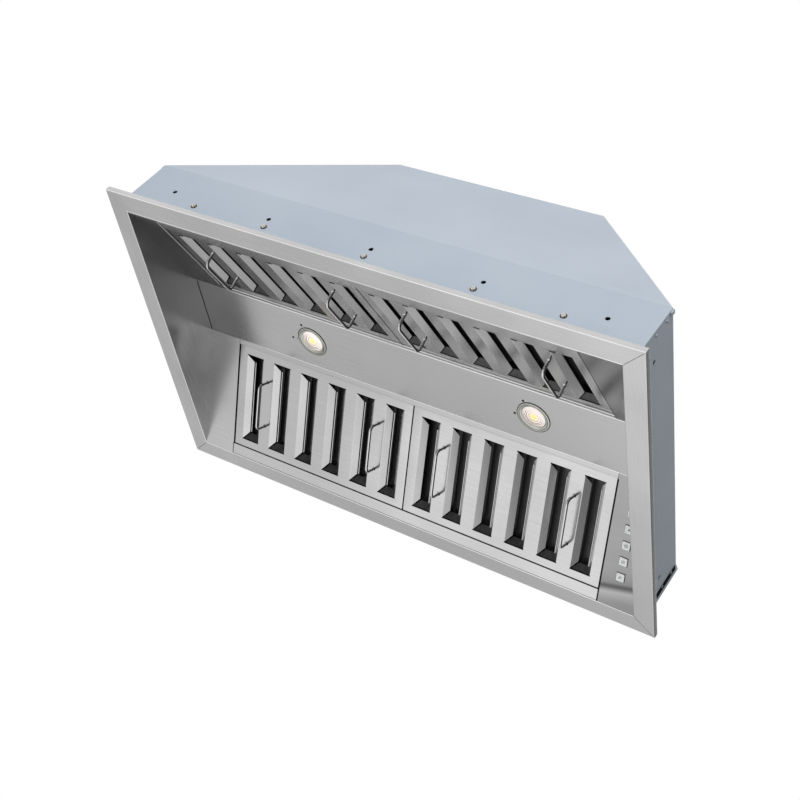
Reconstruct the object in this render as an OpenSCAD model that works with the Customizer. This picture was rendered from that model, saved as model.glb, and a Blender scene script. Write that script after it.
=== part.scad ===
// Range hood insert: a stainless liner with four baffle filters, two lamps and five push buttons,
// in a sheet steel casing that narrows to a round duct collar. Width runs along X, the front
// faces -Y and up is +Z. The origin is the centre of the flange's underside.

/* [Flange] */
// Overall width of the flange
flange_w = 873; // [800:1:1000]
// Overall depth of the flange, front to back
flange_d = 548.5; // [520:0.5:600]
// Width of each mitred flange bar
flange_border = 32.3; // [28:0.1:40]
// Height of the flange's turned-up rim
flange_rim = 10; // [6:0.5:16]
// Thickness of the stainless liner sheet
sheet = 1.2; // [0.9:0.1:1.5]

/* [Cavity] */
// Height of the light panel above the flange's underside
cavity_h = 87.6; // [70:0.1:100]
// Depth of the flat light panel, front to back
light_panel_d = 104.1; // [90:0.1:120]
// How far the light panel's middle lies behind the flange's middle
light_panel_y = 2.35; // [0:0.05:5]
// Width of the fixed strip at each end of a filter bank
side_strip = 59.8; // [50:0.1:70]
// Depth of the fixed strip below a filter bank
low_strip = 19.2; // [16:0.1:24]
// Width of the lip above the rear filter bank
rear_lip = 8.5; // [6:0.1:12]

/* [Casing] */
// Distance from the flange's front edge back to the casing's front wall
casing_inset_front = 21.45; // [18:0.05:22]
// Distance from the flange's rear edge forward to the casing's rear wall
casing_inset_rear = 29.65; // [24:0.05:30]
// Distance from the flange's side edge in to the casing's side wall
casing_inset_side = 18.1; // [12:0.1:20]
// Thickness of the casing sheet
casing_t = 1.2; // [0.9:0.1:1.5]
// Height where the upright walls end and the slopes begin
skirt_h = 108.1; // [100:0.1:130]
// Height of the casing's top plate
casing_h = 372.7; // [365:0.1:420]
// How far the front slope leans back over its height
top_setback = 108.2; // [90:0.1:120]
// Width of the top plate
top_w = 362.8; // [350:0.1:420]

/* [Filters] */
// Thickness of a filter, face to back
filter_t = 22; // [21:0.5:24]
// Gap beside and below each filter
filter_gap = 2; // [1.5:0.1:2.4]
// Gap above each filter, which its upper edge swings through
filter_top_gap = 2.4; // [2.2:0.1:3]
// How deep the filter faces lie behind the strips
filter_recess = 2; // [1:0.1:3]
// Thickness of the baffle sheet
baffle_t = 0.8; // [0.6:0.1:1]
// Width of a punched slot
slot_w = 32.8; // [30:0.1:34]
// Distance from one slot to the next
slot_pitch = 55.48; // [53:0.01:58]
// Width of a flap, bent in from a slot's long edge
flap_w = 12; // [9:0.1:13]
// Angle of a flap from the filter's face
flap_angle = 38; // [30:1:42]

/* [Handles] */
// Distance between the two feet of a wire handle
handle_l = 78; // [60:1:90]
// Height of the handle's wire above the filter's face
handle_h = 21; // [18:0.5:26]
// Diameter of the handle's wire
handle_wire = 4.5; // [4:0.1:6]

/* [Buttons] */
// Side of a square button cap
button_w = 12.2; // [10:0.1:14]
// Distance from one button to the next
button_pitch = 25.4; // [22:0.1:28]
// How far a button stands out of its strip
button_proud = 1.8; // [1.2:0.1:3]
// How far a button travels when it is pressed
button_travel = 1.5; // [1:0.1:2]

/* [Lamps] */
// Diameter of a lamp's bezel
lamp_d = 58; // [52:0.5:64]
// Distance between the two lamps
lamp_pitch = 394.5; // [340:0.5:440]
// How far the lamps' middle lies to the right of the flange's middle
lamp_shift = 14.75; // [0:0.25:20]

/* [Duct] */
// Outer diameter of the duct collar
collar_d = 201; // [190:0.5:205]
// Height of the collar above the top plate
collar_h = 45; // [40:1:60]

/* [Blower] */
// Radius of the blower wheel
wheel_r = 76; // [70:1:78]
// Length of the blower wheel
wheel_w = 150; // [120:1:156]
// Inner width of the blower housing
housing_w = 180; // [176:1:190]
// Height from the shaft to the underside of the top plate
blower_drop = 136.5; // [134:0.5:138]
// Length of the motor
motor_l = 78; // [60:1:90]
// Radius of the motor
motor_r = 42; // [36:1:46]

/* [Hidden] */
$fn = 64;

// Overrun of every cut, and the clearances between pieces
over = 1;
mitre_gap = 0.15;
seam_gap = 0.6;
turn_gap = 0.05;
hole_gap = 0.15;
button_gap = 0.35;

// The cavity: two banks of filters lean on either side of the light panel
opening_w = flange_w - 2 * flange_border;
opening_d = flange_d - 2 * flange_border;
front_run = opening_d / 2 + light_panel_y - light_panel_d / 2;
rear_run = opening_d / 2 - light_panel_y - light_panel_d / 2;
front_angle = atan2(cavity_h, front_run);
rear_angle = atan2(cavity_h, rear_run);
front_l = norm([front_run, cavity_h]);
rear_l = norm([rear_run, cavity_h]);
bank_w = opening_w - 2 * side_strip;
lip_u = rear_l - rear_lip;
rail_h = 20;
low_lip_h = 7;

// The filters
filter_l = lip_u - filter_top_gap - low_strip - filter_gap;
filter_u = low_strip + filter_gap;
filter_seam = 2.4;
filter_w = (bank_w - filter_seam) / 2 - filter_gap;
filter_x = filter_seam / 2 + filter_w / 2;
slot_end = 11.3;
slot_edge = 12;
slot_l = filter_l - 2 * slot_end;
slot_count = 1 + floor((filter_w - slot_w - 2 * slot_edge) / slot_pitch);
frame_lip = 8;
flap_root_share = 0.4;
flap_rise_share = 0.12;
flap_end_gap = 2;
tab_w = 24;
tab_over = 2;
tab_inset = 60;

// The handles: bent wire, welded to the strip after the first slot at each end of a filter
handle_bend = 8;
handle_x = (slot_count / 2 - 1) * slot_pitch;

// The filter clips, folded over the light panel's turned-up lips
clip_t = 0.5;
clip_w = 20;
clip_leg = 12;
clip_inset = 55;

// The casing
casing_w = flange_w - 2 * casing_inset_side;
casing_front_y = -(flange_d / 2 - casing_inset_front);
casing_rear_y = flange_d / 2 - casing_inset_rear;
top_front_y = casing_front_y + top_setback;
rear_proud = 3;
rail_clearance = 0.4;
rear_joint = 2;
ear_w = 15;
ear_low = 52;
ear_high = 106;
corner_tab = [2.6, 6, 8];
upstand_h = 50;
upstand_margin = 18;
hem_w = 4;

// Screws and rivets, and the holes that fix the insert in its cabinet
screw_r = 2;
screw_head_r = 3.8;
screw_head_h = 2.4;
head_top_share = 0.72;
screw_l = 10;
screw_cross = 0.9;
screw_cross_l = 4.6;
screw_cross_h = 1.4;
screw_z = 40.7;
screw_places = [-304, -173, 0, 173, 304];
fixing_r = 3.5;
fixing_pitch = 177.8;
fixing_z = 58.2;
side_fixing_y = [-207, 206.5];
side_fixing_z = 54.6;
rivet_r = 1.6;
rivet_head_r = 3.2;
rivet_head_h = 1.1;
rivet_inset = 9;
rivet_z = [62, 91];

// The lamps
lamp_proud = 2;
lamp_ring = 7;
lamp_hole_r = lamp_d / 2 - 4;
lamp_body_h = 20;
lamp_rim = 3;
lens_drop = 0.8;
lens_t = 2.4;
lens_gap = 0.3;
pin_hole_r = 1;
pin_hole_gap = 1.6;
pin_hole_turn = [171, 240.4];
driver = [44, 92, 26];
driver_gap = 6;
driver_x = lamp_shift - lamp_pitch / 2 - lamp_d / 2 - driver_gap - driver[0];

// The buttons and what holds them
button_inset = 29.9;
button_x = opening_w / 2 - button_inset;
button_u = 102.7;
button_count = 5;
button_flange = 1.2;
button_flange_t = 1.4;
button_body = 4;
stem_w = 4;
stem_l = 8;
switch_w = 6;
switch_h = 3.4;
switch_gap = 0.5;
board_t = 1.6;
control_w = 30;
control_margin = 14;
control_wall = 1.6;
control_rear = 5;
button_back = sheet + button_flange_t + stem_l;
board_n = button_back + button_travel + switch_gap + switch_h;
control_h = board_n + board_t + control_rear;

// The duct collar and its backdraft damper
collar_y = (top_front_y + casing_rear_y) / 2;
collar_r = collar_d / 2;
collar_t = 1;
collar_rim = 12;
rod_r = 2;
rod_rise = 20;
rod_z = casing_h + rod_rise;
rod_x = 5.2;
knuckle_r = 3.4;
damper_t = 0.8;
damper_gap = 3;
stop = [8, 8, 1.2];
stop_turn = 30;

// The blower: a scroll around a drum wheel on the motor's shaft
scroll_gap = 8;
scroll_growth = 46;
scroll_min = wheel_r + scroll_gap;
scroll_max = scroll_min + scroll_growth;
scroll_steps = 20;
outlet_d = 110;
outlet_h = 34;
outlet_margin = 1.5;
outlet_w = collar_d + 2 * outlet_margin;
outlet_lip = 12;
shaft_y = collar_y - scroll_max + outlet_d / 2;
shaft_z = casing_h - casing_t - blower_drop;
mouth_h = blower_drop - outlet_h;
tongue_y = scroll_max - outlet_d;
tongue_angle = acos(tongue_y / scroll_min);
inlet_step = 12;
inlet_r = wheel_r - inlet_step;
inlet_ring = 10;
hub_r = 14;
hub_l = 24;
blade_count = 30;
blade_depth = 14;
blade_in_r = wheel_r - blade_depth;
blade_t = 1;
blade_steps = 4;
blade_lead = 14;
wheel_ring = 4;
wheel_ring_t = 3;
disc_t = 1.5;
shaft_r = 4;
shaft_fit = 0.02;
shaft_in = 66;
mount_t = 2;
mount_off = 4;
mount_hole_r = 14;
mount_arm_w = 14;
mount_reach = 14;
mount_arm_r = inlet_r + mount_reach;
mount_foot_r = 6;
motor_cap = 8;
motor_cap_r = 30;
hanger_t = 1.5;
hanger_w = 30;
hanger_foot = 28;
hanger_gap = 9;
hanger_leg = 30;
hanger_top = 70;
hanger_y = 100;

// The wiring box on the rear wall
box = [90, 45, 70];
box_x = 200;
box_z = 125;
box_t = 1.2;
bushing_r = 11;
bushing_bore_r = 6.5;
bushing_rim = 3;
bushing_rim_t = 2.5;
bushing_nut_h = 4;
cover_screw_inset = 8;

// Sheet metal follows a path of points, with its thickness on the path's left
function unit(v) = v / norm(v);
function left_of(a, b) = let (d = unit(b - a)) [-d[1], d[0]];
function side_point(path, i, t) =
    let (last = len(path) - 1,
        before = i > 0 ? left_of(path[i - 1], path[i]) : left_of(path[0], path[1]),
        after = i < last ? left_of(path[i], path[i + 1]) : left_of(path[last - 1], path[last]),
        both = before + after)
    path[i] + 2 * t * both / (both * both);
function side_path(path, t) = [for (i = [0 : len(path) - 1]) side_point(path, i, t)];
function backwards(path) = [for (i = [len(path) - 1 : -1 : 0]) path[i]];

module bent_sheet(path, t) {
    polygon(concat(path, backwards(side_path(path, t))));
}

module along_x(w) {
    rotate([90, 0, 90]) translate([0, 0, -w / 2]) linear_extrude(w) children();
}

module along_y(from, to) {
    translate([0, to, 0]) rotate([90, 0, 0]) linear_extrude(to - from) children();
}

// A bank's own frame: X as before, Y up the slope from the flange, Z into the hood
function front_point(u, n) = [-opening_d / 2 + u * cos(front_angle) - n * sin(front_angle),
    u * sin(front_angle) + n * cos(front_angle)];
function rear_point(u, n) = [opening_d / 2 - u * cos(rear_angle) + n * sin(rear_angle),
    u * sin(rear_angle) + n * cos(rear_angle)];

module in_bank(rear) {
    if (rear) translate([0, opening_d / 2, 0]) mirror([0, 1, 0]) rotate([rear_angle, 0, 0]) children();
    else translate([0, -opening_d / 2, 0]) rotate([front_angle, 0, 0]) children();
}

// Pan head screw, its head's seat at zero and its shank below
module pan_screw() {
    difference() {
        union() {
            cylinder(h = screw_head_h, r1 = screw_head_r, r2 = screw_head_r * head_top_share);
            translate([0, 0, -screw_l]) cylinder(h = screw_l, r = screw_r);
        }
        for (turn = [0, 90]) rotate([0, 0, turn])
            translate([-screw_cross_l / 2, -screw_cross / 2, screw_head_h - screw_cross_h])
                cube([screw_cross_l, screw_cross, screw_cross_h + over]);
    }
}

module rivet() {
    cylinder(h = rivet_head_h, r1 = rivet_head_r, r2 = rivet_head_r * head_top_share);
    translate([0, 0, -2 * casing_t]) cylinder(h = 2 * casing_t, r = rivet_r);
}

// The flange: four mitred bars, with upright strips that the casing is fixed to
flange_path = [[0, 0], [flange_border, 0], [flange_border, flange_rim], [flange_border - hem_w, flange_rim]];

module flange_bar(reach, half_length) {
    intersection() {
        along_x(2 * half_length) translate([reach, 0]) bent_sheet(flange_path, sheet);
        linear_extrude(flange_rim) polygon([
            [-(half_length - mitre_gap), reach + flange_border],
            [half_length - mitre_gap, reach + flange_border],
            [half_length - flange_border - mitre_gap, reach],
            [-(half_length - flange_border - mitre_gap), reach]]);
    }
}

module upstand(wall, length, height) {
    translate([-length / 2, wall - sheet, 0]) cube([length, sheet, height]);
}

module flange_front() color("#b9bbbd") {
    wall = -casing_front_y - casing_t;
    difference() {
        rotate([0, 0, 180]) union() {
            flange_bar(opening_d / 2, flange_w / 2);
            upstand(wall, opening_w - 2 * upstand_margin, upstand_h);
        }
        for (x = screw_places) translate([x, -wall - over, screw_z]) rotate([-90, 0, 0])
            cylinder(h = sheet + 2 * over, r = screw_r + hole_gap);
    }
}

module flange_rear() color("#b9bbbd") flange_bar(opening_d / 2, flange_w / 2);

module flange_side() {
    flange_bar(opening_w / 2, flange_d / 2);
    upstand(casing_w / 2 - casing_t, opening_d - 2 * upstand_margin, upstand_h);
}

module flange_left() color("#b9bbbd") rotate([0, 0, 90]) flange_side();

module flange_right() color("#b9bbbd") rotate([0, 0, -90]) flange_side();

// The liner's end walls
module liner_wall() {
    along_y_outline = [[-opening_d / 2, sheet], [-opening_d / 2, rail_h], front_point(front_l, rail_h),
        rear_point(rear_l, rail_h), [opening_d / 2, rail_h], [opening_d / 2, sheet]];
    translate([opening_w / 2 + sheet / 2, 0, 0]) along_x(sheet) polygon(along_y_outline);
}

module liner_right() color("#8f9295") liner_wall();

module liner_left() color("#8f9295") mirror([1, 0, 0]) liner_wall();

// The light panel: a channel whose lips end the two filter banks
module lamp_places() {
    for (side = [-1, 1]) translate([lamp_shift + side * lamp_pitch / 2, light_panel_y, cavity_h]) children();
}

module light_panel() color("#a9abad") {
    path = [front_point(lip_u, rail_h), front_point(lip_u, 0), front_point(front_l, 0),
        rear_point(rear_l, 0), rear_point(lip_u, 0), rear_point(lip_u, rail_h)];
    difference() {
        union() {
            along_x(bank_w - 2 * seam_gap) bent_sheet(path, sheet);
            translate([-opening_w / 2, light_panel_y - light_panel_d / 2, cavity_h])
                cube([opening_w, light_panel_d, sheet]);
        }
        lamp_places() translate([0, 0, -over]) {
            cylinder(h = sheet + 2 * over, r = lamp_hole_r);
            for (turn = pin_hole_turn) rotate([0, 0, turn])
                translate([lamp_d / 2 + pin_hole_gap, 0, 0]) cylinder(h = sheet + 2 * over, r = pin_hole_r);
        }
    }
}

// The rails around each filter bank
module filter_rails(rear) {
    slope = rear ? rear_angle : front_angle;
    bank_l = rear ? rear_l : front_l;
    foot = sheet * tan(slope);
    strip_l = bank_l - foot - seam_gap;
    side = [[opening_w / 2, 0], [bank_w / 2, 0], [bank_w / 2, rail_h]];
    low = [[foot, 0], [low_strip, 0], [low_strip, low_lip_h]];
    for (hand = [0, 1]) mirror([hand, 0, 0]) translate([0, foot + strip_l, 0]) rotate([90, 0, 0])
        linear_extrude(strip_l) bent_sheet(side, -sheet);
    along_x(bank_w - 2 * seam_gap) bent_sheet(low, sheet);
}

module inside_casing() {
    front = casing_front_y + casing_t + rail_clearance;
    rear = casing_rear_y - casing_t - rail_clearance;
    translate([-flange_w / 2, front, -over]) cube([flange_w, rear - front, casing_h]);
}

module front_filter_rails() color("#9b9ea1") intersection() {
    in_bank(false) filter_rails(false);
    inside_casing();
}

module rear_filter_rails() color("#c3c5c7") difference() {
    intersection() {
        in_bank(true) filter_rails(true);
        inside_casing();
    }
    button_places() translate([-button_w / 2 - button_gap, -button_w / 2 - button_gap, -over])
        cube([button_w + 2 * button_gap, button_w + 2 * button_gap, sheet + 2 * over]);
}

// The casing: front, two sides and rear, each one bent sheet
front_path = [[top_front_y, casing_h], [casing_front_y, skirt_h], [casing_front_y, sheet]];
side_wall_path = [[casing_w / 2, sheet], [casing_w / 2, skirt_h], [top_w / 2, casing_h]];
function front_view(extra) = [[-casing_w / 2 - extra, sheet], [casing_w / 2 + extra, sheet],
    [casing_w / 2 + extra, skirt_h], [top_w / 2, casing_h], [-top_w / 2, casing_h],
    [-casing_w / 2 - extra, skirt_h]];

module ear(y) {
    for (side = [-1, 1]) translate([side * (casing_w / 2 - 3 * casing_t / 2) - casing_t / 2, y, ear_low])
        cube([casing_t, ear_w, ear_high - ear_low]);
}

module rivet_places(cut) {
    for (side = [-1, 1]) for (z = rivet_z) for (y = [casing_front_y + rivet_inset, casing_rear_y - rivet_inset])
        translate([side * casing_w / 2, y, z]) rotate([0, side * 90, 0]) {
            if (cut) translate([0, 0, -2 * casing_t - over])
                cylinder(h = 2 * casing_t + 2 * over, r = rivet_r + hole_gap);
            else rivet();
        }
}

module casing_front() color("#afc3d3") difference() {
    union() {
        intersection() {
            along_x(casing_w) bent_sheet(front_path, casing_t);
            along_y(casing_front_y - over, casing_rear_y) polygon(front_view(0));
        }
        ear(casing_front_y + casing_t / 2);
    }
    for (x = screw_places) translate([x, casing_front_y - over, screw_z]) rotate([-90, 0, 0])
        cylinder(h = casing_t + 2 * over, r = screw_r + hole_gap);
    for (i = [-2 : 2]) translate([i * fixing_pitch, casing_front_y - over, fixing_z]) rotate([-90, 0, 0])
        cylinder(h = casing_t + 2 * over, r = fixing_r);
    rivet_places(true);
}

module casing_side() {
    inside = side_path(front_path, casing_t);
    difference() {
        union() {
            intersection() {
                along_y(casing_front_y, casing_rear_y) bent_sheet(side_wall_path, casing_t);
                along_x(casing_w + over) polygon(concat(inside,
                    [[casing_rear_y - casing_t - rear_joint, sheet], [casing_rear_y - casing_t - rear_joint, casing_h]]));
            }
            translate([casing_w / 2 - casing_t / 2, casing_front_y + casing_t, skirt_h - corner_tab[2]])
                cube([corner_tab[0] + casing_t / 2, corner_tab[1], corner_tab[2]]);
        }
        for (y = side_fixing_y) translate([casing_w / 2 - casing_t - over, y, side_fixing_z]) rotate([0, 90, 0])
            cylinder(h = casing_t + 2 * over, r = fixing_r);
        rivet_places(true);
    }
}

module casing_right() color("#8a949c") casing_side();

module casing_left() color("#8a949c") mirror([1, 0, 0]) casing_side();

module casing_rear() color("#a9bccb") difference() {
    union() {
        along_y(casing_rear_y - casing_t, casing_rear_y) polygon(front_view(rear_proud));
        ear(casing_rear_y - casing_t / 2 - ear_w);
    }
    translate([box_x + box[0] / 2, casing_rear_y + over, box_z + box[2] / 2]) rotate([90, 0, 0])
        cylinder(h = casing_t + 2 * over, r = bushing_r);
    rivet_places(true);
}

module top_plate() color("#a9bccb") {
    half = side_point(side_wall_path, 2, casing_t)[0];
    front = side_point(front_path, 0, casing_t)[0];
    difference() {
        translate([-half, front, casing_h - casing_t])
            cube([2 * half, casing_rear_y - casing_t - front, casing_t]);
        translate([0, collar_y, casing_h - casing_t - over]) cylinder(h = casing_t + 2 * over, r = collar_r - collar_t);
        collar_screw_places() translate([0, 0, -casing_t - over])
            cylinder(h = casing_t + 2 * over, r = screw_r + hole_gap);
    }
}

// The duct collar, with the stops and rod of its damper
module collar_screw_places() {
    for (turn = [45 : 90 : 315]) translate([0, collar_y, casing_h]) rotate([0, 0, turn])
        translate([collar_r + collar_rim / 2 + collar_t / 2, 0, 0]) children();
}

module rod_places() {
    for (side = [-1, 1]) translate([side * rod_x, collar_y, rod_z]) rotate([90, 0, 0]) children();
}

module duct_collar() color("#b7bcc0") difference() {
    union() {
        translate([0, collar_y, casing_h]) difference() {
            union() {
                cylinder(h = collar_t, r = collar_r + collar_rim);
                cylinder(h = collar_h, r = collar_r);
            }
            translate([0, 0, -over]) cylinder(h = collar_h + 2 * over, r = collar_r - collar_t);
        }
        for (side = [0, 180]) for (turn = [-stop_turn, stop_turn])
            translate([0, collar_y, rod_z - damper_t / 2 - stop[2]]) rotate([0, 0, side + turn])
                translate([collar_r - collar_t / 2 - stop[0], -stop[1] / 2, 0]) cube(stop);
    }
    rod_places() cylinder(h = collar_d + 2 * over, r = rod_r + turn_gap, center = true);
    collar_screw_places() translate([0, 0, -over]) cylinder(h = collar_t + 2 * over, r = screw_r + hole_gap);
}

module damper_rods() color("#c9cbcd") rod_places() cylinder(h = collar_d, r = rod_r, center = true);

// Each damper flap is part of a disc, with a sleeve around its own rod
module damper_flap() {
    r = collar_r - collar_t - damper_gap;
    translate([0, collar_y, rod_z]) difference() {
        union() {
            translate([0, 0, -damper_t / 2]) difference() {
                cylinder(h = damper_t, r = r);
                translate([rod_x - 2 * r, -r - over, -over]) cube([2 * r, 2 * r + 2 * over, damper_t + 2 * over]);
            }
            translate([rod_x, 0, 0]) rotate([90, 0, 0])
                cylinder(h = 2 * (r - damper_gap), r = knuckle_r, center = true);
        }
        translate([rod_x, 0, 0]) rotate([90, 0, 0])
            cylinder(h = collar_d, r = rod_r + turn_gap, center = true);
    }
}

module damper_flap_right() color("#c9cbcd") damper_flap();

module damper_flap_left() color("#c9cbcd") mirror([1, 0, 0]) damper_flap();

// The blower's scroll, its two side plates and its outlet box
scroll_path = concat([[tongue_y, mouth_h]],
    [for (i = [0 : scroll_steps]) let (turn = tongue_angle + (360 - tongue_angle) * i / scroll_steps,
        r = scroll_min + scroll_growth * i / scroll_steps) [r * cos(turn), r * sin(turn)]],
    [[scroll_max, mouth_h]]);

module at_shaft() {
    translate([0, shaft_y, shaft_z]) children();
}

module blower_scroll() color("#9aa3ab") at_shaft() along_x(housing_w) bent_sheet(scroll_path, -casing_t);

module blower_side() {
    at_shaft() translate([housing_w / 2 + casing_t / 2, 0, 0]) {
        difference() {
            along_x(casing_t) polygon(side_path(scroll_path, -casing_t));
            rotate([0, 90, 0]) cylinder(h = casing_t + 2 * over, r = inlet_r, center = true);
        }
        translate([casing_t / 2, 0, 0]) rotate([0, -90, 0]) difference() {
            cylinder(h = inlet_ring + casing_t, r = inlet_r + casing_t / 2);
            translate([0, 0, -over]) cylinder(h = inlet_ring + casing_t + 2 * over, r = inlet_r - casing_t / 2);
        }
    }
}

module blower_right_side() color("#9aa3ab") blower_side();

module blower_left_side() color("#9aa3ab") mirror([1, 0, 0]) blower_side();

module blower_outlet() color("#9aa3ab") {
    low = shaft_z + mouth_h;
    high = casing_h - casing_t;
    half = outlet_w / 2;
    difference() {
        union() {
            translate([-half, collar_y - half, low]) cube([outlet_w, outlet_w, high - low]);
            translate([-half - outlet_lip, collar_y - half, high - casing_t])
                cube([outlet_w + 2 * outlet_lip, outlet_w, casing_t]);
        }
        translate([-half + casing_t, collar_y - half + casing_t, low + casing_t])
            cube([outlet_w - 2 * casing_t, outlet_w - 2 * casing_t, high - low]);
        translate([-housing_w / 2, shaft_y + tongue_y, low - over]) cube([housing_w, outlet_d, casing_t + 2 * over]);
    }
}

module blower_hangers() color("#9aa3ab") {
    high = casing_h - casing_t;
    foot = housing_w / 2 + casing_t;
    out = outlet_w / 2 + outlet_lip + hanger_gap;
    path = [[foot, high - hanger_top - hanger_leg], [foot, high - hanger_top], [out, high - hanger_top],
        [out, high], [out + hanger_foot, high]];
    for (hand = [0, 1]) mirror([hand, 0, 0]) along_y(shaft_y + hanger_y - hanger_w / 2, shaft_y + hanger_y + hanger_w / 2)
        bent_sheet(path, -hanger_t);
}

// The drum wheel: forward-curved blades between two rings and a middle disc
function blade_point(i, off) = let (r = blade_in_r + (wheel_r - over - blade_in_r) * i / blade_steps,
    turn = blade_lead * (i / blade_steps) * (i / blade_steps) + off * 180 / PI / r) [r * cos(turn), r * sin(turn)];

module impeller() color("#4c5054") at_shaft() rotate([0, 90, 0]) difference() {
    union() {
        for (k = [0 : blade_count - 1]) rotate([0, 0, 360 * k / blade_count])
            linear_extrude(wheel_w, center = true) polygon(concat(
                [for (i = [0 : blade_steps]) blade_point(i, 0)],
                [for (i = [blade_steps : -1 : 0]) blade_point(i, blade_t)]));
        cylinder(h = disc_t, r = wheel_r, center = true);
        cylinder(h = hub_l, r = hub_r, center = true);
        for (side = [-1, 1]) translate([0, 0, side * (wheel_w - wheel_ring_t) / 2]) difference() {
            cylinder(h = wheel_ring_t, r = wheel_r, center = true);
            cylinder(h = wheel_ring_t + 2 * over, r = wheel_r - wheel_ring, center = true);
        }
    }
    cylinder(h = hub_l + 2 * over, r = shaft_r + shaft_fit, center = true);
}

motor_face = -(housing_w / 2 + casing_t + mount_off + mount_t);

module motor_shaft() color("#c9cbcd") at_shaft() translate([motor_face - shaft_in, 0, 0]) rotate([0, 90, 0])
    cylinder(h = shaft_in - motor_face + hub_l / 2, r = shaft_r);

module motor() color("#5b6166") at_shaft() translate([motor_face, 0, 0]) rotate([0, -90, 0]) difference() {
    union() {
        cylinder(h = motor_l, r = motor_r);
        translate([0, 0, motor_l]) cylinder(h = motor_cap, r = motor_cap_r);
        translate([0, 0, -mount_t]) cylinder(h = mount_t + over, r = mount_hole_r);
    }
    translate([0, 0, -mount_t - over]) cylinder(h = shaft_in + mount_t + 2 * over, r = shaft_r + turn_gap);
}

module motor_mount() color("#8c9298") at_shaft() translate([motor_face, 0, 0]) rotate([0, 90, 0]) difference() {
    union() {
        cylinder(h = mount_t, r = motor_r);
        for (turn = [0, 120, 240]) rotate([0, 0, turn]) {
            translate([0, -mount_arm_w / 2, 0]) cube([mount_arm_r, mount_arm_w, mount_t]);
            translate([mount_arm_r, 0, 0]) cylinder(h = mount_t + mount_off, r = mount_foot_r + over);
        }
    }
    translate([0, 0, -over]) cylinder(h = mount_t + 2 * over, r = mount_hole_r + hole_gap);
}

// The lamps: a can above the panel, a bezel below it and a lens between
module lamp_housings() color("#d8dadb") lamp_places() {
    difference() {
        union() {
            translate([0, 0, sheet]) cylinder(h = lamp_rim, r = lamp_d / 2);
            cylinder(h = sheet + lamp_body_h, r = lamp_hole_r - hole_gap);
        }
        translate([0, 0, -over]) cylinder(h = lens_t - lens_drop + lens_gap + over, r = lamp_hole_r - lamp_rim);
    }
}

module lamp_bezels() color("#c6c9cb") lamp_places() translate([0, 0, -lamp_proud]) difference() {
    union() {
        cylinder(h = lamp_proud / 2, r1 = lamp_d / 2 - lamp_proud / 2, r2 = lamp_d / 2);
        translate([0, 0, lamp_proud / 2]) cylinder(h = lamp_proud / 2, r = lamp_d / 2);
    }
    translate([0, 0, -over]) cylinder(h = lamp_proud + 2 * over, r = lamp_d / 2 - lamp_ring);
}

module lamp_lenses() color("#fff4d8") lamp_places() translate([0, 0, -lens_drop])
    cylinder(h = lens_t, r = lamp_d / 2 - lamp_ring - lens_gap);

module lamp_driver() color("#e4e5e6") translate([driver_x, light_panel_y - driver[1] / 2, cavity_h + sheet]) cube(driver);

// The five push buttons in the rear bank's right-hand strip, and their switches
module button_places() {
    for (i = [1 : button_count]) button_place(i) children();
}

module button_place(i) {
    in_bank(true) translate([button_x, button_u + (i - (button_count + 1) / 2) * button_pitch, 0]) children();
}

module push_button(i) {
    rim = button_w + 2 * button_flange;
    button_place(i) {
        translate([-button_w / 2, -button_w / 2, -button_proud]) cube([button_w, button_w, button_proud + button_body]);
        translate([-rim / 2, -rim / 2, sheet]) cube([rim, rim, button_flange_t]);
        translate([-stem_w / 2, -stem_w / 2, sheet]) cube([stem_w, stem_w, button_flange_t + stem_l]);
    }
}

module push_button_1() color("#e9eaeb") push_button(1);
module push_button_2() color("#e9eaeb") push_button(2);
module push_button_3() color("#e9eaeb") push_button(3);
module push_button_4() color("#e9eaeb") push_button(4);
module push_button_5() color("#e9eaeb") push_button(5);

control_l = (button_count - 1) * button_pitch + 2 * control_margin;

module control_housing() color("#3a3d40") in_bank(true)
    translate([button_x - control_w / 2, button_u - control_l / 2, sheet]) difference() {
        cube([control_w, control_l, control_h - sheet]);
        translate([control_wall, control_wall, -over])
            cube([control_w - 2 * control_wall, control_l - 2 * control_wall, control_h - sheet - control_wall + over]);
    }

module control_board() color("#2f6b45") {
    in_bank(true) translate([button_x - control_w / 2 + control_wall, button_u - control_l / 2 + control_wall, board_n])
        cube([control_w - 2 * control_wall, control_l - 2 * control_wall, board_t]);
    button_places() translate([-switch_w / 2, -switch_w / 2, board_n - switch_h]) cube([switch_w, switch_w, switch_h + board_t]);
}

// The wiring box inside the rear wall, and the bushing where the supply cable enters
module junction_box() color("#b7bcc0") translate([box_x, casing_rear_y - casing_t - box[1], box_z]) difference() {
    cube(box);
    translate([box_t, -over, box_t]) cube([box[0] - 2 * box_t, box[1] - box_t + over, box[2] - 2 * box_t]);
    translate([box[0] / 2, box[1] + over, box[2] / 2]) rotate([90, 0, 0]) cylinder(h = box_t + 2 * over, r = bushing_r);
}

module cover_screw_places() {
    for (side = [-1, 1]) translate([box_x + box[0] / 2 + side * (box[0] / 2 - cover_screw_inset),
        casing_rear_y - casing_t - box[1] - box_t, box_z + box[2] / 2]) rotate([90, 0, 0]) children();
}

module junction_cover() color("#c2c7cb") difference() {
    translate([box_x, casing_rear_y - casing_t - box[1] - box_t, box_z]) cube([box[0], box_t, box[2]]);
    cover_screw_places() translate([0, 0, -box_t - over]) cylinder(h = box_t + 2 * over, r = screw_r + hole_gap);
}

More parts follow.
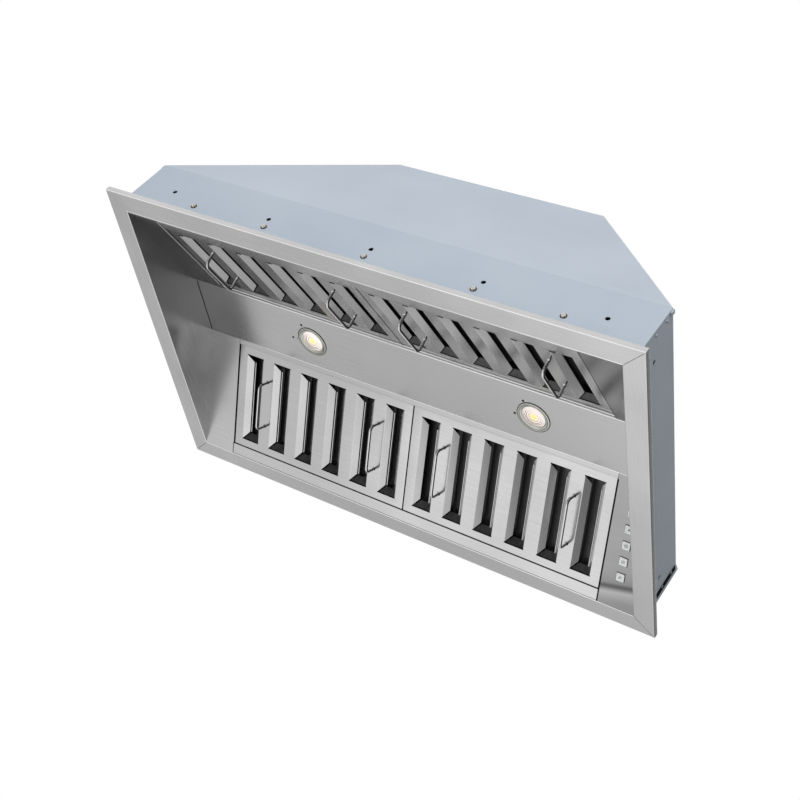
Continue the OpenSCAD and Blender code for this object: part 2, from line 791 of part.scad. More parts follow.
module cable_bushing() color("#26282a") translate([box_x + box[0] / 2, casing_rear_y, box_z + box[2] / 2])
    rotate([90, 0, 0]) difference() {
        union() {
            translate([0, 0, -bushing_rim_t]) cylinder(h = bushing_rim_t, r = bushing_r + bushing_rim);
            cylinder(h = casing_t + box_t + bushing_nut_h, r = bushing_r - hole_gap);
            translate([0, 0, casing_t + box_t]) cylinder(h = bushing_nut_h, r = bushing_r + bushing_rim, $fn = 6);
        }
        translate([0, 0, -bushing_rim_t - over])
            cylinder(h = bushing_rim_t + casing_t + box_t + bushing_nut_h + 2 * over, r = bushing_bore_r);
    }

module screws() color("#d6d8da") {
    for (x = screw_places) translate([x, casing_front_y, screw_z]) rotate([90, 0, 0]) pan_screw();
    collar_screw_places() translate([0, 0, collar_t]) pan_screw();
    cover_screw_places() pan_screw();
}

module rivets() color("#b9c2c9") rivet_places(false);

// The filters: a channel frame, a slotted face, a slotted back and two wire handles
module at_filter(rear, side) {
    in_bank(rear) translate([side * filter_x, filter_u, filter_recess]) children();
}

module flap() {
    low = flap_end_gap;
    high = slot_l - flap_end_gap;
    translate([-baffle_t * flap_root_share, 0, baffle_t * flap_rise_share]) rotate([0, -flap_angle, 0])
        linear_extrude(baffle_t) polygon([[0, low], [flap_w, low + flap_w], [flap_w, high - flap_w], [0, high]]);
}

module slotted_sheet(count) {
    difference() {
        translate([-filter_w / 2, 0, 0]) cube([filter_w, filter_l, baffle_t]);
        for (i = [0 : count - 1]) translate([(i - (count - 1) / 2) * slot_pitch - slot_w / 2, slot_end, -over])
            cube([slot_w, slot_l, baffle_t + 2 * over]);
    }
    for (i = [0 : count - 1]) translate([(i - (count - 1) / 2) * slot_pitch, slot_end, 0])
        for (hand = [0, 1]) mirror([hand, 0, 0]) translate([-slot_w / 2, 0, 0]) flap();
}

module filter_frame() {
    difference() {
        translate([-filter_w / 2, 0, baffle_t]) cube([filter_w, filter_l, filter_t - 2 * baffle_t]);
        translate([-filter_w / 2 + baffle_t, baffle_t, 2 * baffle_t])
            cube([filter_w - 2 * baffle_t, filter_l - 2 * baffle_t, filter_t - 4 * baffle_t]);
        translate([-filter_w / 2 + frame_lip, frame_lip, 0])
            cube([filter_w - 2 * frame_lip, filter_l - 2 * frame_lip, filter_t]);
    }
    for (side = [-1, 1]) translate([side * (filter_w / 2 - tab_inset) - tab_w / 2, -filter_gap - sheet - tab_over, low_lip_h - filter_recess])
        cube([tab_w, filter_gap + sheet + tab_over + baffle_t, baffle_t]);
}

module handle_places() {
    for (side = [-1, 1]) translate([side * handle_x, filter_l / 2, 0]) children();
}

module filter_face() {
    slotted_sheet(slot_count);
}

module filter_back() {
    translate([0, 0, filter_t]) mirror([0, 0, 1]) slotted_sheet(slot_count - 1);
}

module filter_handle() {
    r = handle_wire / 2;
    for (end = [0, 180]) rotate([0, 0, end]) {
        translate([0, handle_l / 2, -handle_h + handle_bend]) cylinder(h = handle_h - handle_bend, r = r);
        translate([0, handle_l / 2 - handle_bend, -handle_h + handle_bend]) rotate([0, 90, 0])
            rotate_extrude(angle = 90) translate([handle_bend, 0]) circle(r);
    }
    translate([0, 0, -handle_h]) rotate([90, 0, 0]) cylinder(h = handle_l - 2 * handle_bend, r = r, center = true);
}

module filter_handles() {
    handle_places() filter_handle();
}

module front_left_frame() color("#8d9093") at_filter(false, -1) filter_frame();
module front_left_face() color("#9da0a3") at_filter(false, -1) filter_face();
module front_left_back() color("#7c7f82") at_filter(false, -1) filter_back();
module front_left_handles() color("#dcdee0") at_filter(false, -1) filter_handles();
module front_right_frame() color("#8d9093") at_filter(false, 1) filter_frame();
module front_right_face() color("#9da0a3") at_filter(false, 1) filter_face();
module front_right_back() color("#7c7f82") at_filter(false, 1) filter_back();
module front_right_handles() color("#dcdee0") at_filter(false, 1) filter_handles();
module rear_left_frame() color("#8d9093") at_filter(true, -1) filter_frame();
module rear_left_face() color("#c9cbcd") at_filter(true, -1) filter_face();
module rear_left_back() color("#7c7f82") at_filter(true, -1) filter_back();
module rear_left_handles() color("#dcdee0") at_filter(true, -1) filter_handles();
module rear_right_frame() color("#8d9093") at_filter(true, 1) filter_frame();
module rear_right_face() color("#c9cbcd") at_filter(true, 1) filter_face();
module rear_right_back() color("#7c7f82") at_filter(true, 1) filter_back();
module rear_right_handles() color("#dcdee0") at_filter(true, 1) filter_handles();

// Spring clips that hold the filters' upper edges, two for each filter
module filter_clips() color("#d6d8da") for (rear = [false, true]) in_bank(rear)
    for (side = [-1, 1]) for (end = [-1, 1])
        translate([side * filter_x + end * (filter_w / 2 - clip_inset) - clip_w / 2, lip_u, rail_h - clip_leg]) {
            translate([0, -clip_t, 0]) cube([clip_w, clip_t, clip_leg + clip_t]);
            translate([0, -clip_t, clip_leg]) cube([clip_w, sheet + 2 * clip_t, clip_t]);
            translate([0, sheet, clip_leg / 2]) cube([clip_w, clip_t, clip_leg / 2 + clip_t]);
        }

flange_front();
flange_rear();
flange_left();
flange_right();
liner_left();
liner_right();
light_panel();
front_filter_rails();
rear_filter_rails();
casing_front();
casing_left();
casing_right();
casing_rear();
top_plate();
duct_collar();
damper_rods();
blower_left_side();
blower_right_side();
blower_scroll();
blower_outlet();
blower_hangers();
motor();
motor_mount();
lamp_housings();
lamp_bezels();
lamp_lenses();
lamp_driver();
control_housing();
control_board();
junction_box();
junction_cover();
cable_bushing();
screws();
rivets();
filter_clips();
front_left_frame();
front_left_face();
front_left_back();
front_left_handles();
front_right_frame();
front_right_face();
front_right_back();
front_right_handles();
rear_left_frame();
rear_left_face();
rear_left_back();
rear_left_handles();
rear_right_frame();
rear_right_face();
rear_right_back();
rear_right_handles();
impeller();
motor_shaft();
damper_flap_left();
damper_flap_right();
push_button_1();
push_button_2();
push_button_3();
push_button_4();
push_button_5();
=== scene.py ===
import math
import bpy
import numpy as np
from mathutils import Matrix, Vector


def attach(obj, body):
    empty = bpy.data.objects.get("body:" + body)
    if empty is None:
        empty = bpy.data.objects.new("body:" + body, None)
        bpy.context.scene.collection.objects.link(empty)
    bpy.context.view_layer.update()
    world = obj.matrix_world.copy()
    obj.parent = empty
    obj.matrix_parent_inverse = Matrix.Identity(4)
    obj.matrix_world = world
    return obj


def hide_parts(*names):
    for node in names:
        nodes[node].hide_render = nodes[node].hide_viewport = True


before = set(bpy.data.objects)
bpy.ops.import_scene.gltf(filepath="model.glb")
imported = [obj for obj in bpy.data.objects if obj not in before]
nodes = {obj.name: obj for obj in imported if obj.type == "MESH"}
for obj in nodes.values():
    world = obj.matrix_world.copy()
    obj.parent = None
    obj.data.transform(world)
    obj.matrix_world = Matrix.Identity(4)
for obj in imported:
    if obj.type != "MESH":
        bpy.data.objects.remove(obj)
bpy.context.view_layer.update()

# The view and the studio
# The insert is seen from below, right and in front, as in the photograph. It hangs in a white studio
# above a pale floor, with one broad lamp in front of it and a weaker one below.
scene = bpy.context.scene
camera_data = bpy.data.cameras.new("photo_camera")
camera_data.lens = 61.027
camera_data.sensor_width = 36.0
camera_data.clip_end = 50.0
camera = bpy.data.objects.new("photo_camera", camera_data)
scene.collection.objects.link(camera)
scene.camera = camera
scene.view_settings.view_transform = "Standard"
turn_vector = Vector((0.772405037, 0.613795845, 0.0872521857))
to_camera = Matrix.Rotation(turn_vector.length, 3, turn_vector.normalized())
offset = Vector((-0.03453198, 0.01583359, 1.96712587))
camera_at = -(to_camera.transposed() @ offset)
axes = to_camera.transposed() @ Matrix(((1, 0, 0), (0, -1, 0), (0, 0, -1)))
camera.matrix_world = Matrix.Translation(camera_at) @ axes.to_4x4()


def linear(tone):
    """The linear colour of an sRGB hex value such as "A5B0BC"."""
    parts = [int(tone[i:i + 2], 16) / 255 for i in (0, 2, 4)]
    return tuple(c / 12.92 if c <= 0.04045 else ((c + 0.055) / 1.055) ** 2.4 for c in parts) + (1.0,)


def add(tree, kind, inputs=None, **settings):
    """A new node of that kind: settings are its own, and inputs are values or the sockets that feed it."""
    node = tree.nodes.new(kind)
    for name, value in settings.items():
        setattr(node, name, value)
    for name, value in (inputs or {}).items():
        if isinstance(value, bpy.types.NodeSocket):
            tree.links.new(value, node.inputs[name])
        else:
            node.inputs[name].default_value = value
    return node


world = bpy.data.worlds.new("white_studio")
world.use_nodes = True
scene.world = world
sky = world.node_tree
sky.nodes.clear()
path = add(sky, "ShaderNodeLightPath")
seen = path.outputs["Is Camera Ray"]
for ray in ("Is Glossy Ray", "Is Transmission Ray"):
    seen = add(sky, "ShaderNodeMath", {0: seen, 1: path.outputs[ray]}, operation="MAXIMUM").outputs[0]
soft_light = add(sky, "ShaderNodeBackground", {"Color": linear("F2F4F7"), "Strength": 0.45})
white = add(sky, "ShaderNodeBackground", {"Color": (1, 1, 1, 1), "Strength": 1.0})
both = add(sky, "ShaderNodeMixShader", {0: seen, 1: soft_light.outputs[0], 2: white.outputs[0]})
add(sky, "ShaderNodeOutputWorld", {"Surface": both.outputs[0]})


def soft_lamp(name, at, aim, size, power):
    """A square soft lamp at one point, turned to another. Bright metal shows the white room instead of it."""
    data = bpy.data.lights.new(name, "AREA")
    data.size = size
    data.energy = power
    piece = bpy.data.objects.new(name, data)
    scene.collection.objects.link(piece)
    piece.location = at
    piece.rotation_euler = (Vector(aim) - Vector(at)).to_track_quat("-Z", "Y").to_euler()
    piece.visible_glossy = False


soft_lamp("front_lamp", (0.35, -2.95, 0.4), (0, 0, 0.15), 1.8, 48)
soft_lamp("low_lamp", (-0.9, 0.2, -2.0), (0, 0, 0.05), 1.6, 26)


def new_material(name, **constants):
    """A material, its node tree and its surface node. The constants are set on the surface's own sockets,
    with _ for a space in a socket's name."""
    mat = bpy.data.materials.new(name)
    mat.use_nodes = True
    surface = mat.node_tree.nodes["Principled BSDF"]
    for socket, value in constants.items():
        surface.inputs[socket.replace("_", " ")].default_value = value
    return mat, mat.node_tree, surface


def mottled(tree, surface, dark, light, grain, detail=2.0):
    """Soft spots of two tones as a surface's colour: noise whose spots are one grain apart picks a tone
    between dark and light. Returns the noise, for the gloss and the relief to follow."""
    place = add(tree, "ShaderNodeTexCoord")
    spots = add(tree, "ShaderNodeTexNoise", {"Vector": place.outputs["Object"], "Scale": 1 / grain, "Detail": detail})
    tones = add(tree, "ShaderNodeValToRGB", {"Fac": spots.outputs["Fac"]})
    tones.color_ramp.elements[0].color = linear(dark)
    tones.color_ramp.elements[1].color = linear(light)
    tree.links.new(tones.outputs[0], surface.inputs["Base Color"])
    return spots.outputs["Fac"]


def stage_plane(name, corners):
    """A flat piece of the studio, not of the object, with its four corners in the order of its face."""
    mesh = bpy.data.meshes.new(name)
    mesh.from_pydata(corners, [], [(0, 1, 2, 3)])
    plane = bpy.data.objects.new(name, mesh)
    scene.collection.objects.link(plane)
    return plane


floor_reach, floor_z = 12, -2.3
floor = stage_plane("floor", [(floor_reach * sx, floor_reach * sy, floor_z)
                              for sx, sy in ((-1, -1), (1, -1), (1, 1), (-1, 1))])
# Matt studio paper: even and pale. Bright metal sees painted light on it instead: a glow in a wide ellipse behind the
# hood with a painted shade in it, brighter painted pools below the hood and in front of it, and little glow elsewhere
studio_paper, tree, paper = new_material("studio_paper", Roughness=0.8)
mottled(tree, paper, "DADADA", "E2E2E2", 2 / 3)
place = add(tree, "ShaderNodeTexCoord")


def patch_of_light(centre, radii, start, end, light_at_start, light_at_end):
    """A soft-edged ellipse of painted light on the paper: x and y are measured from its centre in radii, and the light
    changes smoothly from one value at the distance start to the other at the distance end."""
    spot = add(tree, "ShaderNodeMapping", {"Vector": place.outputs["Object"],
                                           "Location": (-centre[0] / radii[0], -centre[1] / radii[1], 0),
                                           "Scale": (1 / radii[0], 1 / radii[1], 0)})
    away = add(tree, "ShaderNodeVectorMath", {0: spot.outputs[0]}, operation="LENGTH")
    light = add(tree, "ShaderNodeMapRange", {
        "Value": away.outputs["Value"], "From Min": start, "From Max": end,
        "To Min": light_at_start, "To Max": light_at_end}, interpolation_type="SMOOTHSTEP")
    return light.outputs[0]


behind = patch_of_light((-1.2, 5.0), (3.6, 6.0), 1.0, 1.3, 0.72, 0.2)
shade = patch_of_light((-1.3, 3.9), (1.9, 1.2), 1.25, 0.5, 1.0, 0.79)
pool_below = patch_of_light((0.35, 1.0), (1.9, 2.4), 1.2, 0.75, 0.0, 1.0)
pool_in_front = patch_of_light((-2.4, -3.0), (2.6, 2.6), 1.0, 0.6, 0.0, 1.0)
lit = add(tree, "ShaderNodeMath", {0: behind, 1: shade}, operation="MULTIPLY")
lit = add(tree, "ShaderNodeMix", {"Factor": pool_below, "A": lit.outputs[0], "B": 1.06})
lit = add(tree, "ShaderNodeMix", {"Factor": pool_in_front, "A": lit.outputs[0], "B": 1.15})
path = add(tree, "ShaderNodeLightPath")
glow = add(tree, "ShaderNodeEmission", {"Color": (1, 1, 1, 1), "Strength": lit.outputs[0]})
shown = add(tree, "ShaderNodeMixShader", {0: path.outputs["Is Glossy Ray"], 1: paper.outputs[0], 2: glow.outputs[0]})
tree.links.new(shown.outputs[0], tree.nodes["Material Output"].inputs["Surface"])
floor.data.materials.append(studio_paper)

# A grey card stands to the right for the metal alone: the right-hand rim and side mirror it
card_x, card_front, card_rear, card_low, card_top = 2.9, -2, 12, -2.25, 9
card = stage_plane("grey_card", [(card_x, card_front, card_low), (card_x, card_front, card_top),
                                 (card_x, card_rear, card_top), (card_x, card_rear, card_low)])
card.visible_camera = card.visible_diffuse = card.visible_shadow = card.visible_transmission = False
# Grey card: matt, a little uneven, and glowing by itself to about a third of white, as painted light
grey_card, tree, board = new_material("grey_card_board", Roughness=0.8, Emission_Strength=1.0)
mottled(tree, board, "5A5A5A", "666666", 1.25)
tree.links.new(board.inputs["Base Color"].links[0].from_socket, board.inputs["Emission Color"])
card.data.materials.append(grey_card)


# The flange
# Four bars of brushed stainless sheet, 1.2 mm thick, mitred at the corners. Each is folded up into a
# 10 mm rim whose edge is hemmed inward, so its bends are round and catch the light.
mm = 0.001
flange_w, flange_d, flange_border = 873 * mm, 548.5 * mm, 32.3 * mm
flange_rim, hem_w, sheet = 10 * mm, 4 * mm, 1.2 * mm
mitre_gap = 0.45 * mm
inner_bend, outer_bend, highlight_band = 1.15 * mm, 1.9 * mm, 2.4 * mm
casing_front_y, casing_side_x = 252.8 * mm, 418.4 * mm
upstand_h, upstand_short = 50 * mm, 18 * mm
opening_w, opening_d = flange_w - 2 * flange_border, flange_d - 2 * flange_border


def folded(points, bend, thick, steps=5):
    """The closed outline of a sheet that follows a path of corners: each corner is an arc of radius bend on
    the path's right side, and the other face lies thick to the left of it."""
    points = np.array(points, float)
    near, far = [points[0]], []
    along = (points[1:] - points[:-1]) / np.linalg.norm(points[1:] - points[:-1], axis=1)[:, None]
    left = np.stack([-along[:, 1], along[:, 0]], 1)
    far.append(points[0] + left[0] * thick)
    for i in range(1, len(points) - 1):
        turn = math.atan2(along[i - 1, 0] * along[i, 1] - along[i - 1, 1] * along[i, 0], along[i - 1] @ along[i])
        side = math.copysign(1, turn)
        reach = (bend if side > 0 else bend - thick) * abs(math.tan(turn / 2))
        middle = points[i] - along[i - 1] * reach + left[i - 1] * side * (bend if side > 0 else bend - thick)
        angles = np.linspace(0, turn, steps)[:, None]
        start = -left[i - 1] * side
        spoke = np.concatenate([start[0] * np.cos(angles) - start[1] * np.sin(angles),
                                start[0] * np.sin(angles) + start[1] * np.cos(angles)], 1)
        radius = bend if side > 0 else bend - thick
        inner = radius - thick * side
        near += list(middle + spoke * radius)
        far += list(middle + spoke * inner)
    near.append(points[-1])
    far.append(points[-1] + left[-1] * thick)
    return np.array(near + far[::-1])


def join(parts):
    """One list of points and one of faces from several."""
    points, faces, start = [], [], 0
    for part_points, part_faces in parts:
        points.append(part_points)
        faces += [[i + start for i in face] for face in part_faces]
        start += len(part_points)
    return np.concatenate(points), faces


def new_piece(name, parts, body, *stands_for, materials=(), slots=None, sharp=30):
    """One mesh piece at the origin, made of parts with points and faces. It rides on a body and stands for
    these CAD nodes. Its flat faces keep their own normals, and its round ones are smooth."""
    points, faces = join(parts)
    mesh = bpy.data.meshes.new(name)
    mesh.from_pydata(points.tolist(), [], faces)
    for mat in materials:
        mesh.materials.append(mat)
    if slots is not None:
        mesh.polygons.foreach_set("material_index", np.asarray(slots, np.int32))
    mesh.polygons.foreach_set("use_smooth", np.ones(len(mesh.polygons), bool))
    mesh.set_sharp_from_angle(angle=math.radians(sharp))
    mesh.update()
    piece = bpy.data.objects.new(name, mesh)
    scene.collection.objects.link(piece)
    even = piece.modifiers.new("flat_faces_stay_flat", "WEIGHTED_NORMAL")
    even.keep_sharp = True
    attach(piece, body)
    if stands_for:
        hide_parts(*stands_for)
    return piece


def ring_faces(count, rings, closed_ends=True):
    """The faces between successive closed rings of count points, with a flat face on each end."""
    i = np.arange(count)
    k = np.arange(rings - 1)[:, None]
    quads = np.stack(np.broadcast_arrays(k * count + i, k * count + (i + 1) % count,
                                         (k + 1) * count + (i + 1) % count, (k + 1) * count + i), -1).reshape(-1, 4)
    faces = quads.tolist()
    if closed_ends:
        faces += [i[::-1].tolist(), ((rings - 1) * count + i).tolist()]
    return faces


def block(x0, x1, y0, y1, z0, z1):
    """The eight corners and six faces of a straight strip or stud."""
    corners = np.array([(x, y, z) for z in (z0, z1) for x, y in ((x0, y0), (x1, y0), (x1, y1), (x0, y1))])
    return corners, [[3, 2, 1, 0], [4, 5, 6, 7], [0, 1, 5, 4], [1, 2, 6, 5], [2, 3, 7, 6], [3, 0, 4, 7]]


def brushed(name, dark, light, along, roughness, line=0.9 * mm, metallic=1.0):
    """Brushed stainless sheet: fine lines along one axis, a few longer hairlines, and the broad soft clouds
    that rolling leaves. The real lines are 0.1 mm apart, so they are drawn coarser to show."""
    mat, tree, steel = new_material(name, Metallic=metallic)
    place = add(tree, "ShaderNodeTexCoord")
    lines = []
    for width, length in ((line, 70 * mm), (2.6 * line, 260 * mm)):
        scale = [1 / width] * 3
        scale["XYZ".index(along)] = 1 / length
        stretch = add(tree, "ShaderNodeMapping", {"Vector": place.outputs["Object"], "Scale": scale})
        lines.append(add(tree, "ShaderNodeTexNoise", {"Vector": stretch.outputs[0], "Scale": 1.0, "Detail": 3.0,
                                                      "Roughness": 0.7}))
    cloud = add(tree, "ShaderNodeTexNoise", {"Vector": place.outputs["Object"], "Scale": 7.0, "Detail": 2.0})
    hair = add(tree, "ShaderNodeMapRange", {"Value": lines[1].outputs["Fac"], "From Min": 0.6, "From Max": 0.78,
                                            "To Min": 0.0, "To Max": 0.3})
    fine = add(tree, "ShaderNodeMath", {0: lines[0].outputs["Fac"], 1: hair.outputs[0]}, operation="ADD")
    tone = add(tree, "ShaderNodeMath", {0: cloud.outputs["Fac"], 1: fine.outputs[0]}, operation="ADD")
    tone = add(tree, "ShaderNodeMapRange", {"Value": tone.outputs[0], "From Min": 0.7, "From Max": 1.35})
    ramp = add(tree, "ShaderNodeValToRGB", {"Fac": tone.outputs[0]})
    ramp.color_ramp.elements[0].color = linear(dark)
    ramp.color_ramp.elements[1].color = linear(light)
    tree.links.new(ramp.outputs[0], steel.inputs["Base Color"])
    gloss = add(tree, "ShaderNodeMapRange", {"Value": tone.outputs[0], "To Min": roughness + 0.05,
                                             "To Max": roughness - 0.05})
    tree.links.new(gloss.outputs[0], steel.inputs["Roughness"])
    relief = add(tree, "ShaderNodeBump", {"Height": fine.outputs[0], "Strength": 0.06, "Distance": 0.15 * mm})
    tree.links.new(relief.outputs[0], steel.inputs["Normal"])
    return mat


inner_edge = np.linspace(0, math.pi / 2, 6)
inner_edge = inner_bend * np.stack([1 - np.cos(inner_edge), 1 - np.sin(inner_edge)], 1)
bar_outline = folded([(0, 0), (flange_border, 0), (flange_border, flange_rim), (flange_border - hem_w, flange_rim)],
                     outer_bend, sheet)
bar_outline = np.concatenate([inner_edge, [[highlight_band, 0]], bar_outline[1:]])
# Stainless sheet brushed along each bar: pale and satin
bars_lengthwise = brushed("brushed_stainless_bar_lengthwise", "C3C3C3", "D2D2D2", "X", 0.27, line=0.7 * mm)
bars_crosswise = brushed("brushed_stainless_bar_crosswise", "C3C3C3", "D2D2D2", "Y", 0.27, line=0.7 * mm)
# Folded edges: the same brushed stainless, painted near white where it bends: a painted highlight
folded_edge_highlight = brushed("folded_stainless_edge_painted_highlight", "F0F0F0", "FCFCFC", "X", 0.2, line=3 * mm)
# Each bar's back carries an upstand that is screwed inside the casing's wall, but for the rear one
for name, long_side, reach, quarter, wall in (
        ("flange_front", flange_w, opening_d / 2, 2, casing_front_y - sheet),
        ("flange_right", flange_d, opening_w / 2, 3, casing_side_x - sheet),
        ("flange_rear", flange_w, opening_d / 2, 0, None),
        ("flange_left", flange_d, opening_w / 2, 1, casing_side_x - sheet)):
    half = long_side / 2 - flange_border - mitre_gap + bar_outline[:, 0]
    ends = [-half - (mitre_gap if name == "flange_left" else 0), half + (mitre_gap if name == "flange_front" else 0)]
    spin = np.array(Matrix.Rotation(quarter * math.pi / 2, 3, "Z"))
    rings = np.stack([np.stack([x, reach + bar_outline[:, 0], bar_outline[:, 1]], -1) for x in ends])
    sheets = [(rings.reshape(-1, 3), ring_faces(len(bar_outline), 2))]
    if wall:
        length = (long_side - 2 * flange_border) / 2 - upstand_short
        sheets.append(block(-length, length, wall - sheet, wall, sheet, upstand_h))
    # On the front bar the round inner edge and the narrow band beside it take the folded edges' painted highlight
    highlight_faces = np.zeros(sum(len(faces) for _, faces in sheets), int)
    highlight_faces[:len(inner_edge) if name == "flange_front" else 0] = 1
    new_piece(name + "_bar", [(points @ spin.T, faces) for points, faces in sheets], "hood", name, slots=highlight_faces,
              materials=[bars_lengthwise if quarter % 2 == 0 else bars_crosswise, folded_edge_highlight])


def ribbon(start, end, across, width):
    """A thin flat strip from one point to another, in millimetres, half its width to each side of that line.
    Its four corners go round so that its one face looks down."""
    start, end, across = (np.array(v, float) for v in (start, end, across))
    side = across / np.linalg.norm(across) * width / 2
    if np.cross(end - start, across)[2] > 0:
        side = -side
    return np.stack([start - side, end - side, end + side, start + side]) * mm, [[0, 1, 2, 3]]


# Painted shade: a near-black backing tab under each open mitre, so that it shows as a thin dark line
mitre_gap_shade = brushed("mitre_gap_painted_shade", "242322", "33302D", "X", 0.5, line=2 * mm)
tab_inner, tab_outer, tab_z, tab_w = (406, 244), (432, 270), 1.3, 2.6
tabs = []
for sx, sy in ((1, -1), (1, 1), (-1, 1)):
    tabs.append(ribbon((sx * tab_inner[0], sy * tab_inner[1], tab_z), (sx * tab_outer[0], sy * tab_outer[1], tab_z),
                       (-sx * sy, 1, 0), tab_w))
new_piece("mitre_backing_tabs", tabs, "hood", materials=[mitre_gap_shade])


# The cavity
# The two side walls, the flat light panel and the sloping strips around the filters, all of brushed
# stainless sheet: the side walls brushed from front to rear, the panel and the strips across the hood.
def finish(mat, *names):
    """Puts one material on these CAD nodes."""
    for name in names:
        nodes[name].data.materials.clear()
        nodes[name].data.materials.append(mat)


# The side walls' copy is toned darker than the panel's: painted shade for the cavity's shaded sides
finish(brushed("brushed_stainless_wall", "8A8A8A", "AEAEAE", "Y", 0.22), "liner_left", "liner_right")
finish(brushed("brushed_stainless_panel", "C3C3C3", "CCCCCC", "X", 0.24), "light_panel")
# Outside the filters the strips are painted darker: at the ends of the front bank as a painted reflection of the dark
# side walls, and on the button strip as a darker tone with a painted dark soft band and a bright one across, painted
# reflections whose tone follows y there, and x a little. The front bank's strips are also toned darker than the rear
# bank's: painted shade and painted light on one sheet.
strip_start_x, band_low, band_high, band_lean = 344.5 * mm, 215 * mm, 316.7 * mm, 0.19
front_strips = brushed("brushed_stainless_front_strips", "B2B2B2", "C4C4C4", "X", 0.2)
rear_strips = brushed("brushed_stainless_rear_strips", "CCCCCC", "DADADA", "X", 0.3)
painted_wall_reflection = [(0.0, 0.5), (1.0, 0.6)]
painted_strip_reflection = [(0.0, 0.58), (0.35, 0.54), (0.5, 0.5), (0.6, 0.42), (0.645, 0.18), (0.67, 0.24), (0.735, 0.7),
               (0.8, 0.58), (0.88, 0.46), (1.0, 0.44)]
for mat, node_name, at_both_ends, stops in ((front_strips, "front_filter_rails", True, painted_wall_reflection),
                                            (rear_strips, "rear_filter_rails", False, painted_strip_reflection)):
    tree = mat.node_tree
    steel = tree.nodes["Principled BSDF"]
    pale = steel.inputs["Base Color"].links[0].from_socket
    place = add(tree, "ShaderNodeTexCoord")
    across = add(tree, "ShaderNodeSeparateXYZ", {"Vector": place.outputs["Object"]})
    away = across.outputs["X"]
    if at_both_ends:
        away = add(tree, "ShaderNodeMath", {0: away}, operation="ABSOLUTE").outputs[0]
    outside = add(tree, "ShaderNodeMath", {0: away, 1: strip_start_x}, operation="GREATER_THAN")
    slant = add(tree, "ShaderNodeMath", {0: across.outputs["X"], 1: band_lean, 2: across.outputs["Y"]},
                operation="MULTIPLY_ADD")
    up_slope = add(tree, "ShaderNodeMapRange", {"Value": slant.outputs[0], "From Min": band_low, "From Max": band_high})
    bands = add(tree, "ShaderNodeValToRGB", {"Fac": up_slope.outputs[0]})
    for at, value in stops[1:-1]:
        bands.color_ramp.elements.new(at)
    for stop, (at, value) in zip(bands.color_ramp.elements, stops):
        stop.position = at
        stop.color = (value, value, value, 1.0)
    toned = add(tree, "ShaderNodeMix", {"Factor": outside.outputs[0], 6: pale, 7: bands.outputs[0]},
                data_type="RGBA", blend_type="MULTIPLY")
    tree.links.new(toned.outputs[2], steel.inputs["Base Color"])
    finish(mat, node_name)


# The filters
# Four baffle filters in channel frames. Each visible face is one stainless sheet with six slots: the metal
# of a slot is bent inward as two flaps with hemmed edges. A second slotted sheet lies behind it.
front_run, rear_run, cavity_h = 192.25 * mm, 187.55 * mm, 87.6 * mm
front_angle, rear_angle = math.atan2(cavity_h, front_run), math.atan2(cavity_h, rear_run)
filter_w, filter_l, filter_u, filter_n = 341.2 * mm, 174.9 * mm, 21.2 * mm, 2 * mm
filter_x, slot_w, slot_pitch, slot_end = 171.8 * mm, 32.8 * mm, 55.48 * mm, 11.3 * mm
slot_centres = (np.arange(6) - 2.5) * slot_pitch
filters = (False, -1, "front_left"), (False, 1, "front_right"), (True, -1, "rear_left"), (True, 1, "rear_right")


def on_bank(points, rear):
    """Turns (x, u, n) into the hood's own axes: x across, u up the slope from the flange, n into the hood."""
    x, u, n = np.moveaxis(np.asarray(points, float), -1, 0)
    angle = rear_angle if rear else front_angle
    y = -opening_d / 2 + u * math.cos(angle) - n * math.sin(angle)
    return np.stack([x, -y if rear else y, u * math.sin(angle) + n * math.cos(angle)], -1)


def put_on_bank(parts, rear):
    """Parts in (x, u, n), joined and put on a bank. The rear bank mirrors them, so it turns their faces over."""
    points, faces = join(parts)
    return on_bank(points, rear), [face[::-1] for face in faces] if rear else faces


def tube(path, radius, across, sides=14):
    """A round bar along a path that lies in a plane with the direction across at right angles: each point
    of the path carries one circle, turned to face the way that the path goes there."""
    path, across = np.asarray(path, float), np.asarray(across, float)
    ahead = np.gradient(path, axis=0)
    ahead /= np.linalg.norm(ahead, axis=1)[:, None]
    beside = np.cross(ahead, across)
    turn = np.linspace(0, 2 * math.pi, sides, endpoint=False)
    radius = np.broadcast_to(radius, len(path))
    rings = path[:, None] + radius[:, None, None] * (np.cos(turn)[None, :, None] * across
                                                     + np.sin(turn)[None, :, None] * beside[:, None])
    return rings.reshape(-1, 3), ring_faces(sides, len(path))


flap_w, flap_angle, flap_gap, fold_r = 12 * mm, math.radians(38), 2 * mm, 1.5 * mm
hem_r, hem_tail, low_lip, high_lip = 0.75 * mm, 2.2 * mm, 0.8 * mm, 1.1 * mm


def flap_profile():
    """The cross-section of a flap from the slot's edge: distance into the slot, depth, and the length along
    the sheet. An arc turns the sheet by the flap's angle, the flap runs straight on, and its edge is an arc
    of almost half a turn, folded back behind it."""
    bend = np.linspace(0, flap_angle, 5)
    reach = fold_r * math.tan(flap_angle / 2)
    arc = np.stack([-reach + fold_r * np.sin(bend), fold_r * (1 - np.cos(bend))], 1)
    ahead = np.array([math.cos(flap_angle), math.sin(flap_angle)])
    back = np.array([-ahead[1], ahead[0]])
    edge = ahead * (flap_w - hem_r)
    curl = np.linspace(0, math.pi * 0.95, 7)[:, None]
    hem = edge + back * hem_r + hem_r * (ahead * np.sin(curl) - back * np.cos(curl))
    tail = hem[-1] - ahead * hem_tail
    line = np.concatenate([arc, hem, [tail]])
    away = np.clip(np.concatenate([np.zeros(len(bend)), line[len(bend):] @ ahead]), 0, None)
    return line, away


